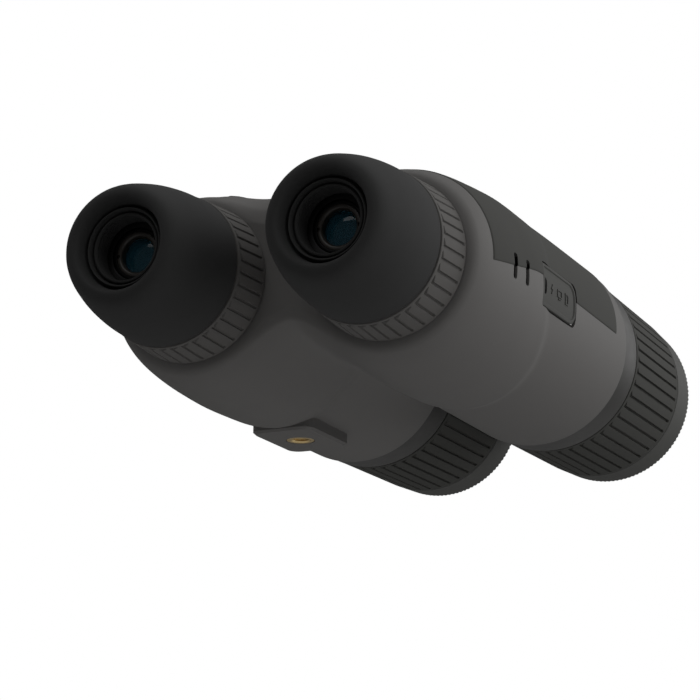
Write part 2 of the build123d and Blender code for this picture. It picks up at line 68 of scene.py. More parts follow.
# ------------------------------------------------------------------ sizes from the frame
@dataclass(frozen=True)
class Span:
    """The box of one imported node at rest, in millimetres."""

    low: Point3
    high: Point3

    @classmethod
    def of(cls, node: str) -> "Span":
        """Read a node's box from the frame.

        Args:
            node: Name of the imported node.

        Returns:
            The node's box.
        """
        low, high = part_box(node)
        return cls(tuple(v / MM for v in low), tuple(v / MM for v in high))

    @property
    def mid(self) -> Point3:
        """Middle of the box.

        Returns:
            Three coordinates.
        """
        return tuple((a + b) / 2 for a, b in zip(self.low, self.high))

    @property
    def size(self) -> Point3:
        """Width, length and height of the box.

        Returns:
            Three lengths.
        """
        return tuple(b - a for a, b in zip(self.low, self.high))


# ------------------------------------------------------------------ curves and blends
def smoothstep(t: np.ndarray | float) -> np.ndarray:
    """Ease from 0 to 1 as t goes from 0 to 1.

    Args:
        t: Position, kept within 0 and 1.

    Returns:
        The eased value.
    """
    t = np.clip(t, 0.0, 1.0)
    return t * t * (3.0 - 2.0 * t)


def smooth_min(a: np.ndarray, b: np.ndarray, reach: np.ndarray | float) -> np.ndarray:
    """Union of two distance fields, with a fillet of about that reach.

    Args:
        a: First field.
        b: Second field.
        reach: Width of the fillet, in millimetres.

    Returns:
        The blended field.
    """
    return np.minimum(a, b) - np.maximum(reach - np.abs(a - b), 0.0) ** 2 / (4.0 * reach)


def monotone(knots: Sequence[Point2]) -> Callable[[np.ndarray], np.ndarray]:
    """A smooth curve through the knots that never overshoots them.

    Args:
        knots: (position, value) pairs in rising position.

    Returns:
        A function of position, constant beyond the end knots.
    """
    xs, ys = np.array(knots, float).T
    steps, slopes = np.diff(xs), np.diff(ys) / np.diff(xs)
    tangents = np.zeros_like(xs)
    tangents[0], tangents[-1] = slopes[0], slopes[-1]
    for i in range(1, len(xs) - 1):
        if slopes[i - 1] * slopes[i] > 0:
            w1 = 2 * steps[i] + steps[i - 1]
            w2 = steps[i] + 2 * steps[i - 1]
            tangents[i] = (w1 + w2) / (w1 / slopes[i - 1] + w2 / slopes[i])

    def curve(x: np.ndarray) -> np.ndarray:
        """Value of the curve at x.

        Args:
            x: Positions on the curve.

        Returns:
            The curve's values.
        """
        x = np.clip(np.asarray(x, float), xs[0], xs[-1])
        i = np.clip(np.searchsorted(xs, x) - 1, 0, len(steps) - 1)
        t = (x - xs[i]) / steps[i]
        t2, t3 = t * t, t * t * t
        return (
            (2 * t3 - 3 * t2 + 1) * ys[i]
            + (t3 - 2 * t2 + t) * steps[i] * tangents[i]
            + (3 * t2 - 2 * t3) * ys[i + 1]
            + (t3 - t2) * steps[i] * tangents[i + 1]
        )

    return curve


def softened(outline: Sequence[Point2], radius: float, steps: int = 4) -> list[Point2]:
    """Round every corner of a closed outline.

    Args:
        outline: Corners in order.
        radius: Length taken from each side of a corner, at most 0.45 of the side.
        steps: Points along each rounded corner, less one.

    Returns:
        The outline's points with its corners rounded.
    """
    corners = np.array(outline, float)
    made = []
    for i, corner in enumerate(corners):
        ends = []
        for other in (corners[i - 1], corners[(i + 1) % len(corners)]):
            side = other - corner
            length = max(np.linalg.norm(side), 1e-9)
            ends.append(corner + side / length * min(radius, 0.45 * length))
        for t in np.linspace(0.0, 1.0, steps + 1):
            point = (1 - t) ** 2 * ends[0] + 2 * t * (1 - t) * corner + t * t * ends[1]
            made.append((float(point[0]), float(point[1])))
    return made


def rounded_rectangle(width: float, height: float, radii: Sequence[float], steps: int = 8) -> np.ndarray:
    """Outline of a rectangle about the origin with its own radius at each corner.

    Args:
        width: Size along the first axis.
        height: Size along the second axis.
        radii: Corner radii, anticlockwise from the corner where both axes are positive.
        steps: Points along each corner, less one.

    Returns:
        An array of points, anticlockwise.
    """
    points = []
    signs = ((1, 1), (-1, 1), (-1, -1), (1, -1))
    for quarter, (radius, (sx, sy)) in enumerate(zip(radii, signs)):
        cx, cy = sx * (width / 2 - radius), sy * (height / 2 - radius)
        for t in np.linspace(0.0, math.pi / 2, steps + 1):
            turn = quarter * math.pi / 2 + t
            points.append((cx + radius * math.cos(turn), cy + radius * math.sin(turn)))
    return np.array(points)


def resampled(outline: np.ndarray, spacing: float) -> np.ndarray:
    """Closed outline with extra points so that no step is longer than spacing.

    Args:
        outline: Corners in order.
        spacing: Longest step, in millimetres.

    Returns:
        The outline with the extra points.
    """
    made = []
    for a, b in zip(outline, np.roll(outline, -1, axis=0)):
        count = max(1, int(math.ceil(np.linalg.norm(b - a) / spacing)))
        for k in range(count):
            made.append(a + (b - a) * k / count)
    return np.array(made)


# ------------------------------------------------------------------ finishes
class Kind(Enum):
    """How a finish takes the light."""

    RUBBER = "rubber"
    PLASTIC = "plastic"
    METAL = "metal"
    GLASS = "glass"


def linear(*levels: float) -> Point3:
    """Linear colour from display levels of 0 to 255.

    Args:
        levels: Display levels of red, green and blue.

    Returns:
        Linear red, green and blue.
    """
    shares = [v / 255.0 for v in levels]
    return tuple(s / 12.92 if s <= 0.04045 else ((s + 0.055) / 1.055) ** 2.4 for s in shares)


@dataclass(frozen=True)
class Finish:
    """One procedural finish: a colour with drift, a grain in relief and a varied gloss."""

    name: str
    colour: Point3
    kind: Kind = Kind.RUBBER
    roughness: float = 0.6
    grain: float = 0.7
    relief: float = 0.02
    drift: float = 0.10
    coat: float = 0.0
    turned: bool = False

    def material(self) -> bpy.types.Material:
        """Build the finish's material once and return it.

        Returns:
            The material.
        """
        found = bpy.data.materials.get(self.name)
        return found if found else self._made()

    def _made(self) -> bpy.types.Material:
        """Build the node tree.

        Returns:
            The new material.
        """
        material = bpy.data.materials.new(self.name)
        material.use_nodes = True
        tree = material.node_tree
        shader = tree.nodes["Principled BSDF"]
        self._set_constants(shader)
        place = tree.nodes.new("ShaderNodeTexCoord").outputs["Object"]
        if self.turned:
            place = self._stretched(tree, place)
        self._colour(tree, place, shader)
        self._gloss(tree, place, shader)
        if self.relief > 0:
            self._grain(tree, place, shader)
        return material

    def _set_constants(self, shader: bpy.types.Node) -> None:
        """Set what is the same all over the surface on the shader's own sockets.

        Args:
            shader: The material's shader.
        """
        shader.inputs["Metallic"].default_value = 1.0 if self.kind is Kind.METAL else 0.0
        shader.inputs["Coat Weight"].default_value = self.coat
        shader.inputs["Coat Roughness"].default_value = 0.06
        if self.kind is Kind.RUBBER:
            shader.inputs["Specular IOR Level"].default_value = 0.42
            shader.inputs["Sheen Weight"].default_value = 0.06
            shader.inputs["Sheen Roughness"].default_value = 0.5
        if self.kind is Kind.GLASS:
            shader.inputs["IOR"].default_value = 1.7

    def _stretched(self, tree: Tree, place: Socket) -> Socket:
        """Stretch the pattern across the barrel, so that it runs round like turning marks.

        Args:
            tree: The material's node tree.
            place: Place on the object.

        Returns:
            The stretched places.
        """
        mapping = tree.nodes.new("ShaderNodeMapping")
        mapping.inputs["Scale"].default_value = (0.08, 1.0, 0.08)
        tree.links.new(place, mapping.inputs["Vector"])
        return mapping.outputs["Vector"]

    def _noise(self, tree: Tree, place: Socket, cell: float, detail: float = 3.0) -> Socket:
        """Noise whose cells are about that many millimetres across.

        Args:
            tree: The material's node tree.
            place: Place on the object.
            cell: Size of a cell, in millimetres.
            detail: Layers of finer noise.

        Returns:
            The noise's value.
        """
        noise = tree.nodes.new("ShaderNodeTexNoise")
        noise.inputs["Scale"].default_value = 1.0 / (cell * MM)
        noise.inputs["Detail"].default_value = detail
        tree.links.new(place, noise.inputs["Vector"])
        return noise.outputs["Fac"]

    def _colour(self, tree: Tree, place: Socket, shader: bpy.types.Node) -> None:
        """Base colour with a slow drift and faint fine specks.

        Args:
            tree: The material's node tree.
            place: Place on the object.
            shader: The material's shader.
        """
        ramp = tree.nodes.new("ShaderNodeValToRGB")
        low, high = ramp.color_ramp.elements
        low.position, high.position = 0.3, 0.7
        low.color = (*[c * (1 - self.drift) for c in self.colour], 1.0)
        high.color = (*[c * (1 + self.drift) for c in self.colour], 1.0)
        mix = tree.nodes.new("ShaderNodeMath")
        mix.operation = "MULTIPLY_ADD"
        mix.inputs[1].default_value = 0.35
        tree.links.new(self._noise(tree, place, max(self.grain, 0.3), 2.0), mix.inputs[0])
        slow = tree.nodes.new("ShaderNodeMath")
        slow.operation = "MULTIPLY"
        slow.inputs[1].default_value = 0.65
        tree.links.new(self._noise(tree, place, 22.0, 3.0), slow.inputs[0])
        tree.links.new(slow.outputs[0], mix.inputs[2])
        tree.links.new(mix.outputs[0], ramp.inputs["Fac"])
        tree.links.new(ramp.outputs["Color"], shader.inputs["Base Color"])

    def _gloss(self, tree: Tree, place: Socket, shader: bpy.types.Node) -> None:
        """Roughness that varies a little, as handling polishes some places.

        Args:
            tree: The material's node tree.
            place: Place on the object.
            shader: The material's shader.
        """
        spread = tree.nodes.new("ShaderNodeMapRange")
        spread.inputs["From Min"].default_value = 0.3
        spread.inputs["From Max"].default_value = 0.7
        spread.inputs["To Min"].default_value = max(self.roughness - 0.06, 0.02)
        spread.inputs["To Max"].default_value = min(self.roughness + 0.06, 1.0)
        tree.links.new(self._noise(tree, place, 9.0, 4.0), spread.inputs["Value"])
        tree.links.new(spread.outputs["Result"], shader.inputs["Roughness"])

    def _grain(self, tree: Tree, place: Socket, shader: bpy.types.Node) -> None:
        """Moulded grain in relief.

        Args:
            tree: The material's node tree.
            place: Place on the object.
            shader: The material's shader.
        """
        bump = tree.nodes.new("ShaderNodeBump")
        bump.inputs["Strength"].default_value = 1.0
        bump.inputs["Distance"].default_value = self.relief * MM
        tree.links.new(self._noise(tree, place, self.grain, 4.0), bump.inputs["Height"])
        tree.links.new(bump.outputs["Normal"], shader.inputs["Normal"])


@dataclass(frozen=True)
class CoatedLens(Finish):
    """Coated glass: a deep tint in the middle that darkens towards the rim as painted shade, with an
    optional painted glow of the tint.

    The mesh carries a point attribute named rim, 0 in the middle and 1 at the edge.
    """

    kind: Kind = Kind.GLASS
    rim_shade_colour: Point3 = (0.0005, 0.0008, 0.001)
    painted_glow: float = 0.0

    def _colour(self, tree: Tree, place: Socket, shader: bpy.types.Node) -> None:
        """Tint that follows the distance from the middle of the lens, darkening to painted rim shade and
        emitted as painted glow when set.

        Args:
            tree: The material's node tree.
            place: Place on the object.
            shader: The material's shader.
        """
        rim = tree.nodes.new("ShaderNodeAttribute")
        rim.attribute_name = "rim"
        ramp = tree.nodes.new("ShaderNodeValToRGB")
        low, high = ramp.color_ramp.elements
        low.position, high.position = 0.25, 0.98
        low.color = (*self.colour, 1.0)
        # Painted shade: the rim colour stands in for the retaining ring's shadow on the lens.
        high.color = (*self.rim_shade_colour, 1.0)
        tree.links.new(rim.outputs["Fac"], ramp.inputs["Fac"])
        tree.links.new(ramp.outputs["Color"], shader.inputs["Base Color"])
        shader.inputs["Specular Tint"].default_value = (
            *[min(1.0, c * 12 + 0.2) for c in self.colour], 1.0
        )
        # Painted light: the tint is also emitted, so the lens glows though it is no lamp.
        if self.painted_glow:
            tree.links.new(ramp.outputs["Color"], shader.inputs["Emission Color"])
            shader.inputs["Emission Strength"].default_value = self.painted_glow
            shader.inputs["Specular IOR Level"].default_value = 0.15


ARMOUR = Finish("grey_armour", linear(98, 94, 91), roughness=0.62, grain=0.55, relief=0.012)
PANEL = Finish("dark_panel", linear(66, 64, 62), roughness=0.5, grain=0.5, relief=0.014)
COLLAR = Finish("front_collar_rubber", linear(45, 44, 42), roughness=0.5, grain=0.5, relief=0.012)
CUP = Finish("eyecup_rubber", linear(38, 38, 38), roughness=0.34, grain=0.4, relief=0.008, drift=0.12)
DIOPTRE = Finish("dioptre_ring_grip", linear(94, 93, 89), roughness=0.55, grain=0.45, relief=0.012)
FOCUS = Finish("focus_ring_grip", linear(54, 54, 51), roughness=0.5, grain=0.45, relief=0.012)
HOOD = Finish("hood_plastic", linear(66, 66, 63), Kind.PLASTIC, roughness=0.5, grain=0.35, relief=0.008)
ANODISED = Finish("black_anodised", linear(30, 30, 30), Kind.PLASTIC, 0.45, 0.25, 0.006, turned=True)
# The eye glass carries a painted glow and painted rim shade.
EYE_GLASS = CoatedLens(
    "coated_eye_glass", linear(10, 46, 62), Kind.GLASS, 0.42, 4.0, 0.0, 0.0, 0.0, painted_glow=0.3
)
# The front glass also darkens towards its rim as painted shade.
FRONT_GLASS = CoatedLens("coated_front_glass", linear(34, 22, 66), Kind.GLASS, 0.05, 4.0, 0.0, 0.0, 0.8)
BLACK = Finish("black_plastic", linear(28, 28, 28), Kind.PLASTIC, roughness=0.55, grain=0.3, relief=0.006)
# Near-black finish for sheets of painted shade in the strap slots and the finger notch.
SHADE_LINER = Finish("painted_shade_liner", linear(9, 9, 9), Kind.PLASTIC, roughness=0.9, grain=0.3, relief=0.006)
PORT = Finish("port_rubber", linear(80, 76, 73), roughness=0.55, grain=0.4, relief=0.008)
STEEL = Finish("steel_pin", (0.5, 0.5, 0.5), Kind.METAL, 0.3, 0.2, 0.003, turned=True)
BRASS = Finish("brass_insert", (0.62, 0.44, 0.20), Kind.METAL, 0.3, 0.3, 0.004, turned=True)
BRIGHT = Finish("bright_metal", (0.6, 0.6, 0.62), Kind.METAL, roughness=0.32, grain=0.3, relief=0.004)
SEAL = Finish("seal_rubber", linear(24, 24, 24), roughness=0.4, grain=0.4, relief=0.004)
BOARD = Finish("board_green", (0.02, 0.12, 0.05), Kind.PLASTIC, roughness=0.35, grain=0.8, relief=0.01)
DISPLAY = Finish("dark_display", (0.01, 0.01, 0.015), Kind.PLASTIC, 0.12, 1.0, 0.002, coat=0.6)
LAMP = Finish("lamp_lens", (0.25, 0.05, 0.07), Kind.PLASTIC, 0.1, 1.0, 0.002, coat=0.5)
SLEEVE = Finish("battery_wrap", (0.05, 0.12, 0.3), Kind.PLASTIC, 0.25, 1.2, 0.01, coat=0.3)
KEYS = Finish("button_rubber", linear(44, 44, 44), roughness=0.5, grain=0.35, relief=0.006)


# ------------------------------------------------------------------ meshes
def mesh_object(
    name: str, points: np.ndarray, faces: Sequence[Sequence[int]], finish: Finish
) -> bpy.types.Object:
    """Make a mesh object from points in millimetres.

    Args:
        name: Name of the piece.
        points: Vertex places in millimetres.
        faces: Vertex numbers of each face.
        finish: What it is dressed in.

    Returns:
        The linked object, at the origin.
    """
    mesh = bpy.data.meshes.new(name)
    mesh.from_pydata((np.asarray(points, float) * MM).tolist(), [], [list(map(int, f)) for f in faces])
    mesh.materials.append(finish.material())
    obj = bpy.data.objects.new(name, mesh)
    bpy.context.scene.collection.objects.link(obj)
    return obj


def settle(
    obj: bpy.types.Object, angle: float = 32.0, outward: bool = True, merge: float = 0.002
) -> bpy.types.Object:
    """Weld doubles, turn faces outwards and shade smooth with sharp edges past an angle.

    Args:
        obj: The mesh object.
        angle: Edges sharper than this many degrees stay sharp.
        outward: Whether normals are worked out again.
        merge: Welding distance in millimetres.

    Returns:
        The same object.
    """
    work = bmesh.new()
    work.from_mesh(obj.data)
    bmesh.ops.remove_doubles(work, verts=work.verts, dist=merge * MM)
    bmesh.ops.dissolve_degenerate(work, edges=work.edges, dist=0.0005 * MM)
    if outward:
        bmesh.ops.recalc_face_normals(work, faces=work.faces)
    for face in work.faces:
        face.smooth = True
    work.to_mesh(obj.data)
    work.free()
    obj.data.set_sharp_from_angle(angle=math.radians(angle))
    return obj


def grid_faces(rows: int, cols: int, wrap_rows: bool = False, wrap_cols: bool = False) -> list[list[int]]:
    """Quads of a grid whose points are numbered row by row.

    Args:
        rows: Number of rows.
        cols: Points in a row.
        wrap_rows: Whether the last row joins the first.
        wrap_cols: Whether each row closes on itself.

    Returns:
        The quads, as lists of point numbers.
    """
    made = []
    for r in range(rows if wrap_rows else rows - 1):
        for c in range(cols if wrap_cols else cols - 1):
            r2, c2 = (r + 1) % rows, (c + 1) % cols
            made.append([r * cols + c, r * cols + c2, r2 * cols + c2, r2 * cols + c])
    return made


@dataclass(frozen=True)
class Axle:
    """A line along Y that round pieces are turned about, in millimetres."""

    x: float
    z: float

    @classmethod
    def through(cls, node: str) -> "Axle":
        """The line through the middle of a round node.

        Args:
            node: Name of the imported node.

        Returns:
            The axle.
        """
        mid = Span.of(node).mid
        return cls(mid[0], mid[2])

    def ring(self, radius: np.ndarray, along: np.ndarray, turn: np.ndarray) -> np.ndarray:
        """Places at a radius and an angle, in degrees from +X towards +Z.

        Args:
            radius: Distance from the axis, in millimetres.
            along: Stations along the axis.
            turn: Angle round the axis, in degrees.

        Returns:
            Places in millimetres.
        """
        angle = np.radians(turn)
        return np.stack(
            [self.x + radius * np.cos(angle), along, self.z + radius * np.sin(angle)], axis=-1
        )


def lathe(
    name: str, axle: Axle, outline: Sequence[Point2], finish: Finish, segments: int = 144,
    angle: float = 32.0,
) -> bpy.types.Object:
    """Turn a closed (radius, along) outline about an axle.

    Args:
        name: Name of the piece.
        axle: Line to turn about.
        outline: Corners of the section; a radius of 0 makes a pole.
        finish: What it is dressed in.
        segments: Steps round.
        angle: Sharp edge angle in degrees.

    Returns:
        The closed mesh object.
    """
    radius, along = np.array(outline, float).T
    turn = np.arange(segments) * 360.0 / segments
    points = axle.ring(radius[None, :], np.broadcast_to(along, (segments, len(along))), turn[:, None])
    faces = grid_faces(segments, len(radius), wrap_rows=True, wrap_cols=True)
    return settle(mesh_object(name, points.reshape(-1, 3), faces, finish), angle)


def joined(name: str, parts: Sequence[bpy.types.Object]) -> bpy.types.Object:
    """Join mesh objects that share one finish into one object.

    Args:
        name: Name of the piece.
        parts: Mesh objects to join; they are removed.

    Returns:
        The joined object.
    """
    work = bmesh.new()
    for part in parts:
        work.from_mesh(part.data)
    mesh = bpy.data.meshes.new(name)
    for material in parts[0].data.materials:
        mesh.materials.append(material)
    work.to_mesh(mesh)
    work.free()
    for part in parts:
        bpy.data.objects.remove(part)
    obj = bpy.data.objects.new(name, mesh)
    bpy.context.scene.collection.objects.link(obj)
    return obj


def plain_copy(obj: bpy.types.Object) -> bpy.types.Mesh:
    """The object's mesh with its modifiers worked in.

    Args:
        obj: The mesh object.

    Returns:
        A new mesh.
    """
    graph = bpy.context.evaluated_depsgraph_get()
    return bpy.data.meshes.new_from_object(obj.evaluated_get(graph), depsgraph=graph)


def carve(target: bpy.types.Object, cutter: bpy.types.Object, operation: str = "DIFFERENCE") -> None:
    """Cut one closed mesh with another, or add it, and remove the tool.

    Args:
        target: The mesh that is changed.
        cutter: The tool; it is removed.
        operation: Name of the boolean operation.
    """
    cut = target.modifiers.new("carve", "BOOLEAN")
    cut.object, cut.operation, cut.solver = cutter, operation, "EXACT"
    mesh = plain_copy(target)
    target.modifiers.clear()
    old = target.data
    target.data = mesh
    bpy.data.meshes.remove(old)
    bpy.data.objects.remove(cutter)


def prism(outline: np.ndarray, low: float, high: float, place: Placing) -> bpy.types.Object:
    """A closed block from an outline pushed between two levels.

    Args:
        outline: Points of the outline, two columns.
        low: First level.
        high: Second level.
        place: Turns the two outline columns and a level into places.

    Returns:
        The mesh object.
    """
    count = len(outline)
    points = np.concatenate([place(outline[:, 0], outline[:, 1], level) for level in (low, high)])
    faces = [[i, (i + 1) % count, count + (i + 1) % count, count + i] for i in range(count)]
    faces += [list(range(count))[::-1], list(range(count, 2 * count))]
    obj = mesh_object("tool", points, faces, BLACK)
    return settle(obj, merge=0.0001)


def along_x(side: float) -> Placing:
    """Place an outline's (along, height) columns at a level measured outwards from the middle.

    Args:
        side: -1 for the left barrel, 1 for the right.

    Returns:
        A function that places the two columns at a level.
    """

    def place(a: np.ndarray, b: np.ndarray, level: float) -> np.ndarray:
        """Places of the outline at that level.

        Args:
            a: First column of the outline.
            b: Second column of the outline.
            level: Place along the third axis, in millimetres.

        Returns:
            Places in millimetres.
        """
        return np.stack([np.full_like(a, side * level), a, b], axis=-1)

    return place


def along_y(a: np.ndarray, b: np.ndarray, level: float) -> np.ndarray:
    """Place an outline's (across, height) columns at a station along the barrel.

    Args:
        a: First column of the outline.
        b: Second column of the outline.
        level: Place along the third axis, in millimetres.

    Returns:
        Places in millimetres.
    """
    return np.stack([a, np.full_like(a, level), b], axis=-1)


def along_z(a: np.ndarray, b: np.ndarray, level: float) -> np.ndarray:
    """Place an outline's (across, along) columns at a height.

    Args:
        a: First column of the outline.
        b: Second column of the outline.
        level: Place along the third axis, in millimetres.

    Returns:
        Places in millimetres.
    """
    return np.stack([a, b, np.full_like(a, level)], axis=-1)


def circle(x: float, y: float, radius: float, steps: int = 96) -> np.ndarray:
    """Points of a circle.

    Args:
        x: Middle on the first axis.
        y: Middle on the second axis.
        radius: Distance from the axis, in millimetres.
        steps: Points in the whole circle.

    Returns:
        An array of points.
    """
    turn = np.arange(steps) * TAU / steps
    return np.stack([x + radius * np.cos(turn), y + radius * np.sin(turn)], axis=-1)


def hand_over(obj: bpy.types.Object, body: str, slot: str, replaced: Sequence[str]) -> bpy.types.Object:
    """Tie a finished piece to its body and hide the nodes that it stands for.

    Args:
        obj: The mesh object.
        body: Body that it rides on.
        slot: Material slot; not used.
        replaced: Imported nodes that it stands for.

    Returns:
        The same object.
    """
    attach(obj, body)
    if replaced:
        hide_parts(*replaced)
    log.info("%s: %d faces, on %s", obj.name, len(obj.data.polygons), body)
    return obj


# ------------------------------------------------------------------ repetition by Geometry Nodes
class RoundRepeat:
    """A Geometry Nodes tree that repeats one sector round an axle into a closed ring."""

    def __init__(self) -> None:
        """Build the tree."""
        self.tree = bpy.data.node_groups.new("repeat_round", "GeometryNodeTree")
        face = self.tree.interface
        face.new_socket("Sector", in_out="INPUT", socket_type="NodeSocketGeometry")
        kinds = {"Count": "Int", "Centre": "Vector", "Weld": "Float", "Finish": "Material"}
        self.sockets = {
            name: face.new_socket(name, in_out="INPUT", socket_type=f"NodeSocket{kind}").identifier
            for name, kind in kinds.items()
        }
        face.new_socket("Ring", in_out="OUTPUT", socket_type="NodeSocketGeometry")
        self._wire()

    def _wire(self) -> None:
        """Add the nodes and join them."""
        nodes, link = self.tree.nodes, self.tree.links.new
        given = nodes.new("NodeGroupInput")
        result = nodes.new("NodeGroupOutput")
        line = nodes.new("GeometryNodeMeshLine")
        line.inputs["Offset"].default_value = (0.0, 0.0, 0.0)
        step = nodes.new("ShaderNodeMath")
        step.operation = "DIVIDE"
        step.inputs[0].default_value = TAU
        index = nodes.new("GeometryNodeInputIndex")
        turn = nodes.new("ShaderNodeMath")
        turn.operation = "MULTIPLY"
        spin = nodes.new("ShaderNodeCombineXYZ")
        copies = nodes.new("GeometryNodeInstanceOnPoints")
        real = nodes.new("GeometryNodeRealizeInstances")
        weld = nodes.new("GeometryNodeMergeByDistance")
        shift = nodes.new("GeometryNodeTransform")
        dress = nodes.new("GeometryNodeSetMaterial")
        link(given.outputs["Count"], line.inputs["Count"])
        link(given.outputs["Count"], step.inputs[1])
        link(index.outputs["Index"], turn.inputs[0])
        link(step.outputs[0], turn.inputs[1])
        link(turn.outputs[0], spin.inputs["Y"])
        link(line.outputs["Mesh"], copies.inputs["Points"])
        link(given.outputs["Sector"], copies.inputs["Instance"])
        link(spin.outputs["Vector"], copies.inputs["Rotation"])
        link(copies.outputs["Instances"], real.inputs["Geometry"])
        link(real.outputs["Geometry"], weld.inputs["Geometry"])
        link(given.outputs["Weld"], weld.inputs["Distance"])
        link(weld.outputs["Geometry"], shift.inputs["Geometry"])
        link(given.outputs["Centre"], shift.inputs["Translation"])
        link(shift.outputs["Geometry"], dress.inputs["Geometry"])
        link(given.outputs["Finish"], dress.inputs["Material"])
        link(dress.outputs["Geometry"], result.inputs["Ring"])

    def ring(self, sector: bpy.types.Object, count: int, axle: Axle, finish: Finish) -> bpy.types.Object:
        """Repeat a sector that is built about the origin.

        Args:
            sector: Open sector of 360/count degrees.
            count: How many make the ring.
            axle: Where the ring's axis goes.
            finish: What the ring is dressed in.

        Returns:
            The same object, with the whole ring as its mesh.
        """
        repeat = sector.modifiers.new("repeat", "NODES")
        repeat.node_group = self.tree
        repeat[self.sockets["Count"]] = count
        repeat[self.sockets["Centre"]] = (axle.x * MM, 0.0, axle.z * MM)
        repeat[self.sockets["Weld"]] = 0.004 * MM
        repeat[self.sockets["Finish"]] = finish.material()
        mesh = plain_copy(sector)
        sector.modifiers.clear()
        old = sector.data
        sector.data = mesh
        mesh.name = sector.name
        bpy.data.meshes.remove(old)
        return settle(sector)


@dataclass(frozen=True)
class SectorRing:
    """A ring whose outside repeats: one sector is shaped and then repeated round."""

    name: str
    axle: Axle
    count: int
    rows: Sequence[Point2]
    inner: Sequence[Point2]
    columns: Sequence[float]
    dent: Callable[[np.ndarray, np.ndarray, np.ndarray], np.ndarray]
    finish: Finish
    phase: float = 0.0

    def build(self, repeat: RoundRepeat) -> bpy.types.Object:
        """Shape the sector and repeat it.

        The outline is rows (the outside, where the dent applies) followed by inner.
        Columns are shares of the sector's width, from 0 to 1.

        Args:
            repeat: The tree that repeats it.

        Returns:
            The closed ring.
        """
        outline = np.array([*self.rows, *self.inner], float)
        pitch = 360.0 / self.count
        share = np.array(self.columns, float)[:, None]
        radius = np.broadcast_to(outline[:, 0], (len(share), len(outline))).copy()
        along = np.broadcast_to(outline[:, 1], radius.shape)
        outside = len(self.rows)
        radius[:, :outside] -= self.dent(share, radius[:, :outside], along[:, :outside])
        places = Axle(0.0, 0.0).ring(radius, along, self.phase + share * pitch)
        faces = grid_faces(len(share), len(outline), wrap_cols=True)
        sector = mesh_object(self.name, places.reshape(-1, 3), faces, self.finish)
        return repeat.ring(sector, self.count, self.axle, self.finish)


